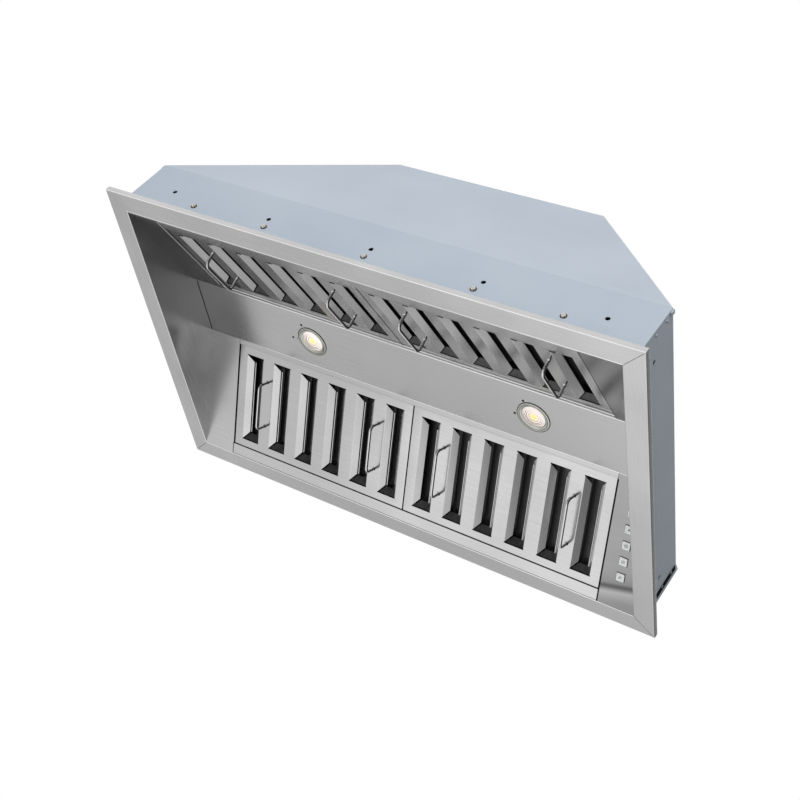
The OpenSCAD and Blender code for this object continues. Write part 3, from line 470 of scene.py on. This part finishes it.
def baffle_sheet(side, rear):
    """A filter's slotted face: flat strips and end bands, and two flaps to each slot. A flap's ends are cut
    at 45 degrees, so a point of it lies as far in from the slot's end as it lies from the fold."""
    line, away = flap_profile()
    ends = np.array([-low_lip, slot_end, slot_end + flap_gap, filter_l - slot_end - flap_gap, filter_l - slot_end,
                     filter_l + high_lip])
    cuts = np.sort(np.concatenate([[-filter_w / 2, filter_w / 2], slot_centres - slot_w / 2 + line[0, 0],
                                   slot_centres + slot_w / 2 - line[0, 0]]))
    grid = np.stack(np.broadcast_arrays(cuts[:, None], ends[None, :], 0.0), -1).reshape(-1, 3)
    k = len(ends)
    flat = [[i * k + j, (i + 1) * k + j, (i + 1) * k + j + 1, i * k + j + 1] for i in range(len(cuts) - 1)
            for j in range(k - 1) if i % 2 == 0 or j in (0, k - 2)]
    parts = [(grid, flat)]
    n = len(line)
    for centre in slot_centres:
        for hand in (-1, 1):
            x = centre + hand * (slot_w / 2 - line[:, 0])
            low, high = ends[2] + away, ends[3] - away
            flap = np.stack([np.concatenate([x, x]), np.concatenate([low, high]), np.tile(line[:, 1], 2)], 1)
            quads = [[i, i + 1, n + i + 1, n + i] if hand < 0 else [i + 1, i, n + i, n + i + 1] for i in range(n - 1)]
            parts.append((flap, quads))
    points, faces = join(parts)
    points = on_bank(points + [side * filter_x, filter_u, filter_n], rear)
    return points, faces if rear else [face[::-1] for face in faces]


# Stainless baffle sheet, brushed across the hood: a satin face that still shows the handles' reflections. The front
# filters' copy is toned darker and the rear filters' lighter: painted shade and painted light
baffle_front = brushed("brushed_stainless_baffle_front", "ACACAC", "C0C0C0", "X", 0.2)
baffle_rear = brushed("brushed_stainless_baffle_rear", "C5C5C5", "D7D7D7", "X", 0.21)
# The channel frame gets no brushing: rolled stainless, duller, and toned darker as painted shade. The second sheet is
# painted darker still for the shade inside the filter, and the tabs at its slots' ends almost black in places, painted
# shade too
rolled_stainless = brushed("rolled_stainless_channel_painted_shade", "5E5E5E", "707070", "X", 0.42, line=3 * mm)
shaded_back = brushed("stainless_back_painted_shade", "484848", "5A5A5A", "X", 0.5, line=3 * mm)
end_tab_rear = brushed("stainless_tab_rear_painted_shade", "303030", "565656", "Z", 0.35, line=5 * mm)
end_tab_front = brushed("stainless_tab_front_painted_shade", "383838", "565656", "Z", 0.35, line=5 * mm)
# The second sheet's hemmed edges show as bright thin lines in the rear slots: beside the left flaps in the left
# filter, and under the right flaps in the right one. At one end of each slot a small tab of it slopes in
flaps_n = filter_n + flap_w * math.sin(flap_angle)
left_hem = -slot_w / 2 + 11.3 * mm, flaps_n + 1.2 * mm, 1.0 * mm
right_hem = slot_w / 2 - 5.6 * mm, flaps_n - 3.9 * mm, 0.7 * mm
hem_u = filter_u + np.array([slot_end + flap_gap + flap_w, filter_l / 2, filter_l - slot_end - flap_gap - flap_w])
tab_x = np.array([-slot_w / 2 + 2 * mm, -slot_w / 2 + 10 * mm, slot_w / 2 - 8 * mm, slot_w / 2 - 1.5 * mm])
tab_u, tab_n = slot_end + np.array([1.5, 11, 11, 1.5]) * mm, filter_n + np.array([1.4, 9, 9, 1.4]) * mm
for rear, side, name in filters:
    sheet_piece = new_piece(name + "_baffle_sheet", [baffle_sheet(side, rear)], name + "_filter", name + "_face",
                            materials=[baffle_rear if rear else baffle_front])
    weld = sheet_piece.modifiers.new("welded_folds", "WELD")
    weld.merge_threshold = 0.01 * mm
    wall = sheet_piece.modifiers.new("sheet_thickness", "SOLIDIFY")
    wall.thickness = 0.6 * mm
    wall.offset = -1
    sheet_piece.modifiers.move(0, 2)
    hem_x, hem_n, hem_radius = left_hem if side < 0 else right_hem
    hems, tabs = [], []
    for x in side * filter_x + slot_centres:
        if rear:
            path = on_bank(np.stack([np.full(3, x + hem_x), hem_u, np.full(3, hem_n)], 1), rear)
            hems.append(tube(path, hem_radius, (1.0, 0.0, 0.0), sides=10))
        tab = np.stack([x + tab_x, filter_u + (tab_u if rear else filter_l - tab_u), tab_n], 1)
        tabs.append((on_bank(tab, rear), [[0, 3, 2, 1]]))
    if hems:
        new_piece(name + "_inner_hems", hems, name + "_filter", materials=[baffle_rear], sharp=60)
    new_piece(name + "_slot_end_tabs", tabs, name + "_filter", materials=[end_tab_rear if rear else end_tab_front])
    finish(rolled_stainless, name + "_frame")
    finish(shaded_back, name + "_back")


# The seams
# Where the sheets meet, thin shadow gaps are painted as dark strips, and the panel's long edges and the front bank's
# upper edge are folded over a small radius, drawn as thin round bars that carry a painted highlight and show as bright
# lines.
# Shadow gap: painted shade, near-black matt strips laid where the sheets meet
shadow_gap = brushed("painted_shadow_gap", "0E0E0E", "1C1C1C", "X", 0.85, line=2 * mm, metallic=0.0)
shadow_gap.node_tree.nodes["Principled BSDF"].inputs["Specular IOR Level"].default_value = 0.08
gap_w, wide_gap_w, slot_gap_w = 0.9, 2.2, 2.4
panel_end_x, panel_front_y, panel_rear_y, panel_z = 403.7, -49.0, 53.8, 87.45
bank_end_x, bank_low_u, bank_top_u, gap_n = 344.8, 0.8, 197, -0.06


def on_slope(start, end, rear, across, width):
    """A ribbon on a bank, between two points given as (x, u, n) in millimetres."""
    line = on_bank(np.array([start, end]) * mm, rear) / mm
    return ribbon(line[0], line[1], across, width)


gaps = []
for side in (-1, 1):
    x = side * panel_end_x
    gaps.append(ribbon((x, panel_front_y, panel_z), (x, panel_rear_y, panel_z), (1, 0, 0), gap_w))
    for rear in (False, True):
        # At the rear bank's left end only a short gap is open, and at its right end the gap is wider
        top = 20 if rear and side < 0 else bank_top_u
        gaps.append(on_slope((side * bank_end_x, bank_low_u, gap_n), (side * bank_end_x, top, gap_n), rear, (1, 0, 0),
                             wide_gap_w if rear and side > 0 else gap_w))
gaps.append(on_slope((-344, 1.3, gap_n), (344, 1.3, gap_n), True, (0, 1, 0), gap_w))
# Painted shade: a dark dash in the gap at the low end of each front slot
for side in (-1, 1):
    for x in (side * filter_x + slot_centres - slot_w / 2) / mm:
        gaps.append(on_slope((x + 0.3, 33.6, 1.9), (x + 9.5, 33.6, 1.9), False, (0, 1, 0), slot_gap_w))
# A dark upright block on the casing's side by its rear corner: painted shade for the gap there
gaps.append(block(418.0 * mm, 419.2 * mm, 232.8 * mm, 242.2 * mm, 12 * mm, 104 * mm))
new_piece("shadow_gaps", gaps, "hood", materials=[shadow_gap])


def bead(start, end, radius, across=(0.0, 0.0, 1.0), on_front_bank=False):
    """A straight folded edge as a thin round bar, in millimetres. On the front bank its ends are (x, u, n)."""
    path = np.array([start, (np.array(start) + end) / 2, end]) * mm
    return tube(on_bank(path, False) if on_front_bank else path, radius * mm, across)


# Thin round bars with the painted highlight: the flange's front edge, the opening's rear and left edges, the panel's
# two long edges, and the front bank's upper edge and left end
new_piece("folded_edge_highlights", [
    bead((-435.7, -273.55, 0.7), (435.7, -273.55, 0.7), 0.7), bead((-404, 242.65, 0.7), (404, 242.65, 0.7), 0.7),
    bead((-404.9, -242, 0.7), (-404.9, 242, 0.7), 0.7), bead((-403.8, -49.9, 87.3), (403.8, -49.9, 87.3), 0.75),
    bead((-403.8, 54.6, 87.3), (403.8, 54.6, 87.3), 0.75),
    bead((-344, 199.4, 0.1), (344, 199.4, 0.1), 0.65, on_front_bank=True),
    bead((-345.9, 2, 0.1), (-345.9, 197, 0.1), 0.6, (1.0, 0.0, 0.0), on_front_bank=True)],
    "hood", materials=[folded_edge_highlight], sharp=60)


# The handles
# Eight loops of 4.5 mm stainless wire, two on each filter, bent at 8 mm radius and spot welded to a strip
# of the face. The wire is drawn and tumbled bright, and swells a little where it is welded.
handle_l, handle_h, handle_r, handle_bend, handle_x = 78 * mm, 21 * mm, 2.25 * mm, 8 * mm, 2 * slot_pitch
# Bright drawn wire: a near mirror with a fine dapple. Its side to the right is painted dark, a painted reflection of
# the dark slots, which gives each leg its hard edge
wires = []
for name, dark, light in (("bright_drawn_stainless_wire", "CFCFCF", "E2E2E2"),
                          ("bright_wire_painted_reflection_side", "545454", "6A6A6A")):
    mat, tree, wire = new_material(name, Metallic=1.0)
    dapple = mottled(tree, wire, dark, light, 1.6 * mm, detail=3.0)
    gloss = add(tree, "ShaderNodeMapRange", {"Value": dapple, "To Min": 0.1, "To Max": 0.2})
    tree.links.new(gloss.outputs[0], wire.inputs["Roughness"])
    relief = add(tree, "ShaderNodeBump", {"Height": dapple, "Strength": 0.05, "Distance": 0.1 * mm})
    tree.links.new(relief.outputs[0], wire.inputs["Normal"])
    wires.append(mat)
turn = np.linspace(0, math.pi / 2, 9)
corner_u, corner_n = handle_l / 2 - handle_bend, handle_h - handle_bend
foot = np.stack([np.full(6, handle_l / 2), -np.array([-0.4, 0.0, 0.5, 1.1, 2.2, corner_n / mm - 0.5]) * mm], 1)
arc = np.stack([corner_u + handle_bend * np.cos(turn), -corner_n - handle_bend * np.sin(turn)], 1)
half = np.concatenate([foot, arc])
loop = np.concatenate([half, half[::-1] * [-1, 1]])
swell = np.array([1.5, 1.42, 1.2, 1.06] + [1.0] * (len(half) - 4))
swell = handle_r * np.concatenate([swell, swell[::-1]])
painted_dark_side = ([1, 1] + [0] * 10 + [1, 1]) * (len(loop) - 1) + [0, 0]
for rear, side, name in filters:
    pair = []
    for x in (-handle_x, handle_x):
        path = np.stack([np.full(len(loop), side * filter_x + x), filter_u + filter_l / 2 + loop[:, 0],
                         filter_n + loop[:, 1]], 1)
        pair.append(tube(path, swell, (1.0, 0.0, 0.0)))
    new_piece(name + "_wire_handles", [put_on_bank(pair, rear)], name + "_filter", name + "_handles",
              materials=wires, slots=painted_dark_side * 2, sharp=60)


# The lamps
# Two recessed round lamps in the light panel. A stepped, satin nickel bezel holds a frosted lens with
# moulded rings around the warm LED, and two dark spring pins sit beside each bezel.
lamps_middle_x, lamps_y, lamp_from_middle, lens_thick = 14.75, 2.35, 197.25, 0.8 * mm
lamp_centres = np.array([(lamps_middle_x + side * lamp_from_middle, lamps_y) for side in (-1, 1)]) * mm


def turned(profile, centre, steps=64):
    """A closed profile of (radius, depth below the panel) points, turned round the lamp's own axis."""
    profile = np.asarray(profile, float)
    angle = np.linspace(0, 2 * math.pi, steps, endpoint=False)
    points = np.stack(np.broadcast_arrays(centre[0] + profile[None, :, 0] * np.cos(angle)[:, None],
                                          centre[1] + profile[None, :, 0] * np.sin(angle)[:, None],
                                          cavity_h - profile[None, :, 1]), -1)
    n = len(profile)
    i, k = np.meshgrid(np.arange(n), np.arange(steps), indexing="ij")
    next_i, next_k = (i + 1) % n, (k + 1) % steps
    quads = np.stack([k * n + i, k * n + next_i, next_k * n + next_i, next_k * n + i], -1)
    return points.reshape(-1, 3), quads.reshape(-1, 4).tolist()


# Satin nickel: a soft grey metal with a warm, slightly green cast and a fine even grain
satin_nickel = brushed("satin_nickel_bezel", "B2B4AC", "CED0C8", "Z", 0.22, line=1.2 * mm)
bezel = np.array([(26.4, 0), (26.4, 0.5), (26.1, 0.8), (25.3, 1.2), (24.8, 1.3), (24.0, 1.2), (23.6, 1.0),
                  (23.4, -0.2), (22.8, -0.2), (22.6, 0.6), (20.6, -0.3), (20.2, -0.2), (19.8, -0.25), (19.4, -0.5),
                  (19.4, -1.2), (24.9, -1.2), (24.9, 0)]) * mm
new_piece("lamp_bezel_rings", [turned(bezel, centre) for centre in lamp_centres], "hood", "lamp_bezels",
          materials=[satin_nickel], sharp=70)
# Foam rubber gasket: a thin, matt, dark green-grey line between each bezel and the panel
gasket = np.array([(26.1, 0.05), (26.1, 0.9), (26.5, 1.0), (26.9, 0.8), (27.1, 0.05)]) * mm
foam_rubber, tree, foam = new_material("foam_rubber_gasket", Roughness=0.8)
pores = mottled(tree, foam, "2E332C", "4A5046", 0.8 * mm)
relief = add(tree, "ShaderNodeBump", {"Height": pores, "Strength": 0.3, "Distance": 0.2 * mm})
tree.links.new(relief.outputs[0], foam.inputs["Normal"])
new_piece("lamp_gaskets", [turned(gasket, centre) for centre in lamp_centres], "hood", materials=[foam_rubber],
          sharp=60)


def glowing(name, dark, light, glow, strength, grain):
    """Frosted lamp glass or plastic: a milky colour with a fine grain, brightened by a weak painted glow of its own."""
    mat, tree, glass = new_material(name, Roughness=0.35, Emission_Color=linear(glow), Emission_Strength=strength)
    frost = mottled(tree, glass, dark, light, grain)
    relief = add(tree, "ShaderNodeBump", {"Height": frost, "Strength": 0.1, "Distance": 0.2 * mm})
    tree.links.new(relief.outputs[0], glass.inputs["Normal"])
    return mat


# Frosted lens: a white rim, pinkish white rings with thin beige shadows in the grooves between them, and a
# warm middle that turns yellow over the LED itself
frosted_rim = glowing("frosted_lens_rim", "F0ECE8", "FAF6F2", "FFF2EA", 0.3, 1.5 * mm)
frosted_groove = glowing("frosted_lens_groove", "62564C", "7A6C60", "FFE0C8", 0.02, 1.5 * mm)
frosted_rings = glowing("frosted_lens_rings", "F4E8E2", "FCF6F2", "FFEFE6", 0.36, 2.5 * mm)
frosted_centre = glowing("frosted_lens_centre", "F8EAD8", "FFF4E4", "FFF0D0", 0.4, 3 * mm)
warm_led = glowing("warm_led_phosphor", "F4E48C", "FFF2A8", "FFE998", 0.34, 1.5 * mm)
ring_r = np.array([19.3, 18.8, 18.0, 17.1, 16.6, 15.8, 14.6, 13.8, 13.2, 11.9, 11.1, 10.5, 9.3, 8.2, 7.4, 5.8, 5.0,
                   2.2]) * mm
ring_d = np.array([-0.8, -0.7, 0.2, 0.3, -0.4, 0.0, 0.1, -0.5, -0.1, 0.05, -0.5, -0.1, 0.0, -0.2, -0.5, -0.2, -0.3,
                   -0.25]) * mm
ring_slot = [1, 0, 0, 1, 2, 2, 1, 2, 2, 1, 2, 2, 3, 1, 3, 3, 4]
lens, slots, steps = [], [], 64
angle = np.linspace(0, 2 * math.pi, steps, endpoint=False)
i = np.arange(steps)
for centre in lamp_centres:
    front = np.stack(np.broadcast_arrays(centre[0] + ring_r[:, None] * np.cos(angle),
                                         centre[1] + ring_r[:, None] * np.sin(angle),
                                         cavity_h - ring_d[:, None]), -1).reshape(-1, 3)
    back = front[:steps] + [0, 0, lens_thick]
    rings = [f[::-1] for f in ring_faces(steps, len(ring_r), closed_ends=False)]
    middle, back_face = (len(front) - steps + i)[::-1].tolist(), (len(front) + i).tolist()
    edge = np.stack([i, (i + 1) % steps, len(front) + (i + 1) % steps, len(front) + i], 1).tolist()
    lens.append((np.concatenate([front, back]), rings + [middle] + edge + [back_face]))
    slots += list(np.repeat(ring_slot, steps)) + [4] + [0] * (steps + 1)
new_piece("lamp_lens_rings", lens, "hood", "lamp_lenses",
          materials=[frosted_rim, frosted_groove, frosted_rings, frosted_centre, warm_led], slots=slots, sharp=80)


# Spring pins: the hollow end of a pin, flush with the panel, two beside each lamp, painted near black and matt: painted
# shade in the hollow
pin_hollow_shade = brushed("pin_hollow_painted_shade", "080808", "121212", "Z", 0.8, line=0.6 * mm, metallic=0.0)
pin_hollow_shade.node_tree.nodes["Principled BSDF"].inputs["Specular IOR Level"].default_value = 0.1
pin = np.array([(2.0, -0.4), (2.0, 0.2), (1.7, 0.3), (0.9, 0.3), (0.7, 0.1), (0.02, 0.1), (0.02, -0.4)]) * mm
pins = []
for centre, places in zip(lamp_centres, (((-14.7, -28.8), (-38.6, 4.4)), ((-14.6, -26.4), (-31.0, 4.1)))):
    pins += [turned(pin, centre + np.array(place) * mm, steps=16) for place in places]
new_piece("lamp_spring_pins", pins, "hood", materials=[pin_hollow_shade], sharp=70)


def coated(name, dark, light, roughness, grain, metallic=0.0, bump=0.1, speck=0.0):
    """A painted, cast or moulded surface: two near tones in soft clouds, and a fine even grain that its
    gloss and its relief follow. Specks are sparse darker grains in it."""
    mat, tree, skin = new_material(name, Metallic=metallic)
    place = add(tree, "ShaderNodeTexCoord")
    fine = add(tree, "ShaderNodeTexNoise", {"Vector": place.outputs["Object"], "Scale": 1 / grain, "Detail": 3.0})
    cloud = add(tree, "ShaderNodeTexNoise", {"Vector": place.outputs["Object"], "Scale": 6.0, "Detail": 3.0})
    dots = add(tree, "ShaderNodeMapRange", {"Value": fine.outputs["Fac"], "From Min": 0.62, "From Max": 0.8,
                                            "To Min": 0.0, "To Max": -speck})
    tone = add(tree, "ShaderNodeMath", {0: cloud.outputs["Fac"], 1: dots.outputs[0]}, operation="ADD")
    ramp = add(tree, "ShaderNodeValToRGB", {"Fac": tone.outputs[0]})
    ramp.color_ramp.elements[0].position = 0.3
    ramp.color_ramp.elements[0].color = linear(dark)
    ramp.color_ramp.elements[1].position = 0.7
    ramp.color_ramp.elements[1].color = linear(light)
    tree.links.new(ramp.outputs[0], skin.inputs["Base Color"])
    gloss = add(tree, "ShaderNodeMapRange", {"Value": fine.outputs["Fac"], "From Min": 0.3, "From Max": 0.7,
                                             "To Min": roughness - 0.06, "To Max": roughness + 0.06})
    tree.links.new(gloss.outputs[0], skin.inputs["Roughness"])
    relief = add(tree, "ShaderNodeBump", {"Height": fine.outputs["Fac"], "Strength": bump, "Distance": 0.2 * mm})
    tree.links.new(relief.outputs[0], skin.inputs["Normal"])
    return mat


# Above the panel the lamps' bodies are die-cast aluminium cans, left as cast: grey, matt and slightly rough. Their
# driver sits in a moulded white case with a fine grain
finish(coated("cast_aluminium_can", "A2A4A5", "B4B6B7", 0.5, 1.2 * mm, metallic=0.9, bump=0.3), "lamp_housings")
finish(coated("white_moulded_case", "D6D7D8", "E2E3E3", 0.45, 0.9 * mm, speck=0.2), "lamp_driver")


# The push buttons
# Five white plastic caps with rounded edges in the right-hand strip, each on its own stem and stop. A small
# grey pictogram is pad printed on each: lamp, fan, two speeds and a clock.
button_w, button_pitch, button_x = 12.2 * mm, 25.4 * mm, opening_w / 2 - 29.9 * mm
button_us = 102.7 * mm + (np.arange(5) - 2) * button_pitch
stop_half, stop_h, stem_half, stem_h = 7.3 * mm, 1.4 * mm, 2 * mm, 8 * mm
# Moulded ABS: clean white with a fine satin grain
white_abs = coated("white_moulded_abs", "F4F5F5", "FCFCFC", 0.35, 0.8 * mm, bump=0.05)
# Pad printing ink: flat mid grey, slightly uneven where it thins out
grey_ink = coated("grey_printing_ink", "333537", "45484A", 0.55, 0.5 * mm)


def cap(at_u):
    """A button: closed rounded squares stacked along its depth. Each is a superellipse, with |x| and |u| to the
    fortieth power, drawn in near the top so that the cap's edge is round."""
    turn = np.linspace(0, 2 * math.pi, 32, endpoint=False) + math.pi / 4
    c, s = np.cos(turn), np.sin(turn)
    unit = (np.abs(c) ** 40 + np.abs(s) ** 40) ** (-1 / 40)
    half = button_w / 2 / mm
    body = [(half, 4.0), (half, -1.45), (half - 0.1, -1.68), (half - 0.35, -1.8), (3.0, -1.78), (0.05, -1.77)]
    rings = np.stack([np.stack([button_x + unit * c * r * mm, at_u + unit * s * r * mm, np.full(32, n * mm)], 1)
                      for r, n in body])
    stop, stem = (block(button_x - w, button_x + w, at_u - w, at_u + w, low, high)
                  for w, low, high in ((stop_half, sheet, sheet + stop_h),
                                       (stem_half, sheet + stop_h, sheet + stop_h + stem_h)))
    return join([(rings.reshape(-1, 3), ring_faces(32, len(body))), stop, stem])


ink_n, clearance_n, clearance_half = -1.79 * mm, -0.07 * mm, 6.5


def square_path(half):
    """The five corners of a closed square, half as wide as given to each side."""
    return [(-half, -half), (-half, half), (half, half), (half, -half), (-half, -half)]


def stroke(points, width=0.75 * mm):
    """A printed line on a cap: a flat strip to each side of a path of (x, u) points in millimetres."""
    points = np.asarray(points, float) * mm
    ahead = np.gradient(points, axis=0)
    ahead /= np.linalg.norm(ahead, axis=1)[:, None]
    side = np.stack([-ahead[:, 1], ahead[:, 0]], 1) * width / 2
    line = np.concatenate([points + side, points - side])
    n = len(points)
    faces = [[i, n + i, n + i + 1, i + 1] for i in range(n - 1)]
    return np.concatenate([line, np.full((2 * n, 1), ink_n)], 1), faces


round_turn = np.linspace(0, 2 * math.pi, 33)
circle = np.stack([np.cos(round_turn), np.sin(round_turn)], 1)
half_turn = np.linspace(0.3 * math.pi, 1.4 * math.pi, 17)


def blade(a):
    """A blade of the fan: an arc of 1.045 mm radius round a point that lies 1 mm out at the angle a."""
    return np.stack([1.045 * np.cos(half_turn + a) + math.cos(a), 1.045 * np.sin(half_turn + a) + math.sin(a)], 1)


# From the flange up: slower, faster, clock, fan and lamp
minus, plus = [(-0.9, 0), (0.9, 0)], [(0, -0.9), (0, 0.9)]
signs = [[square_path(1.9), minus],
         [square_path(1.9), minus, plus],
         [circle * 2.2, [(0, 0), (0, 1.5)], [(0, 0), (1.1, -0.5)]],
         [circle * 0.6, blade(0.5), blade(2.6), blade(4.7)],
         [circle * 1.3, circle * 0.4, [(-1.1, -2.6), (1.1, -2.6)]]]
clearance_shades = []
for number, (at_u, sign) in enumerate(zip(button_us, signs), 1):
    body = cap(at_u)
    marks = [(points + [button_x, at_u, 0], faces) for points, faces in map(stroke, sign)]
    slots = [0] * len(body[1]) + [1] * sum(len(faces) for _, faces in marks)
    new_piece("button_cap_%d" % number, [put_on_bank([body] + marks, True)], "button_%d" % number,
              "push_button_%d" % number, materials=[white_abs, grey_ink], slots=slots, sharp=40)
    # Painted shade: a dark ring round each cap, for the shade in the clearance where its hole in the strip is wider
    line, line_faces = stroke(square_path(clearance_half), 0.9 * mm)
    line[:, 2] = clearance_n
    clearance_shades.append((line + [button_x, at_u, 0], line_faces))
new_piece("button_clearances", [put_on_bank(clearance_shades, True)], "hood", materials=[shadow_gap])

# Their switches stand on a green glass-fibre board in a black moulded box behind the strip
finish(coated("black_moulded_box", "26282A", "323437", 0.5, 1.0 * mm, bump=0.2), "control_housing")
# Circuit board: green lacquer over a grid of slightly raised, lighter copper tracks
lacquered_board, tree, lacquer = new_material("lacquered_glass_fibre_board", Roughness=0.3)
place = add(tree, "ShaderNodeTexCoord")
tracks = add(tree, "ShaderNodeTexBrick", {
    "Vector": place.outputs["Object"], "Scale": 1 / (24 * mm), "Mortar Size": 0.03,
    "Color1": linear("1C5A38"), "Color2": linear("22663F"), "Mortar": linear("3E8A58")})
tree.links.new(tracks.outputs["Color"], lacquer.inputs["Base Color"])
relief = add(tree, "ShaderNodeBump", {"Height": tracks.outputs["Fac"], "Strength": 0.2, "Distance": 0.1 * mm})
tree.links.new(relief.outputs[0], lacquer.inputs["Normal"])
finish(lacquered_board, "control_board")


# The casing
# A folded steel box: front, sides, rear and top, riveted at the corners and powder coated in a pale blue
# grey. The filters' edges are held inside it by spring steel clips.
# Powder coat: an even satin paint with a faint orange peel, cooler than the bare steel around it
finish(coated("pale_blue_powder_coat", "B1BCC9", "BAC5D0", 0.42, 1.6 * mm, bump=0.06), "casing_front", "top_plate")
# The sides and rear take a slightly darker, greyer copy of the powder coat: painted shade
finish(coated("pale_blue_powder_coat_shaded_sides", "AEB8C0", "B7C1C9", 0.42, 1.6 * mm, bump=0.06),
       "casing_left", "casing_right", "casing_rear")
# Aluminium rivets: small bright domes, paler and softer than the screws
finish(coated("aluminium_rivet", "B9BEC3", "CBD0D4", 0.3, 0.5 * mm, metallic=1.0), "rivets")
# Nickel plated pan heads: bright and warm, with a few darker specks where the plating is thin
finish(coated("nickel_plated_screw", "E2DCD0", "F4EEE2", 0.18, 0.4 * mm, metallic=1.0, speck=0.4), "screws")
# Rings shaped like washers under the front heads, painted dark: a painted shadow that outlines each head
shadow_ring_profile = np.array([(4.8, 0), (4.8, 0.5), (4.5, 0.8), (3.85, 0.8), (3.85, 0)]) * mm
shadow_ring_z, ring, ring_quads = 40.7 * mm, *turned(shadow_ring_profile, (0, 0), steps=40)
shadow_rings = []
for x in (-304, -173, 0, 173, 304):
    shadow_rings.append((np.stack([x * mm + ring[:, 0], ring[:, 2] - cavity_h - casing_front_y, shadow_ring_z + ring[:, 1]], 1),
                    ring_quads))
new_piece("screw_head_shadow_rings", shadow_rings, "hood", sharp=50,
          materials=[coated("screw_head_painted_shadow", "4A443C", "6A6258", 0.35, 0.5 * mm, metallic=1.0)])
# Blued spring steel: a dark satin grey that is duller than the sheets around it
finish(coated("blued_spring_steel", "6E7074", "84878C", 0.35, 0.7 * mm, metallic=1.0), "filter_clips")


# The blower and the duct
# A double-sided drum wheel in a galvanised scroll hangs from the top on two Z brackets. It blows through a
# short box into the duct collar, where two spring-less flaps fall shut on their rods.
def galvanised(name, dark, light, roughness, spangle):
    """Hot-dip galvanised sheet: zinc crystals as flat cells of slightly different grey and gloss."""
    mat, tree, zinc = new_material(name, Metallic=0.95)
    place = add(tree, "ShaderNodeTexCoord")
    warp = add(tree, "ShaderNodeTexNoise", {"Vector": place.outputs["Object"], "Scale": 0.5 / spangle, "Detail": 2.0})
    bent = add(tree, "ShaderNodeMixRGB", {"Fac": 0.12, "Color1": place.outputs["Object"],
                                          "Color2": warp.outputs["Color"]})
    cells = add(tree, "ShaderNodeTexVoronoi", {"Vector": bent.outputs[0], "Scale": 1 / spangle})
    tone = add(tree, "ShaderNodeSeparateColor", {"Color": cells.outputs["Color"]})
    ramp = add(tree, "ShaderNodeValToRGB", {"Fac": tone.outputs[0]})
    ramp.color_ramp.elements[0].color = linear(dark)
    ramp.color_ramp.elements[1].color = linear(light)
    tree.links.new(ramp.outputs[0], zinc.inputs["Base Color"])
    gloss = add(tree, "ShaderNodeMapRange", {"Value": tone.outputs[1], "To Min": roughness - 0.08,
                                             "To Max": roughness + 0.08})
    tree.links.new(gloss.outputs[0], zinc.inputs["Roughness"])
    relief = add(tree, "ShaderNodeBump", {"Height": tone.outputs[0], "Strength": 0.08, "Distance": 0.1 * mm})
    tree.links.new(relief.outputs[0], zinc.inputs["Normal"])
    return mat


# The duct and the wiring box are paler and newer than the blower's own sheets
finish(galvanised("galvanised_duct_sheet", "9EA5AA", "B8BEC2", 0.38, 11 * mm),
       "duct_collar", "junction_box", "junction_cover")
finish(galvanised("galvanised_blower_sheet", "8E959B", "A8AFB4", 0.42, 9 * mm), "blower_left_side",
       "blower_right_side", "blower_scroll", "blower_outlet", "blower_hangers", "motor_mount")
# Rolled aluminium: pale, with soft wide lines. Ground steel: finer lines, more gloss, along each rod
finish(brushed("rolled_aluminium_flap", "B2B4B5", "C4C6C7", "Y", 0.35, line=2 * mm),
       "damper_flap_left", "damper_flap_right")
finish(brushed("ground_steel_rod", "9C9E9F", "B4B6B7", "Y", 0.22, line=0.8 * mm), "damper_rods")
finish(brushed("ground_steel_shaft", "9C9E9F", "B4B6B7", "X", 0.22, line=0.8 * mm), "motor_shaft")
# Motor enamel: dark grey and slightly specked. The wheel is black moulded plastic, the bushing duller rubber
finish(coated("grey_motor_enamel", "4A4F53", "585D61", 0.4, 1.4 * mm, bump=0.2, speck=0.3), "motor")
finish(coated("black_moulded_wheel", "2C2E30", "383B3D", 0.5, 1.0 * mm, bump=0.15), "impeller")
finish(coated("black_rubber_bushing", "1E1F20", "2A2B2C", 0.65, 0.8 * mm, bump=0.2), "cable_bushing")
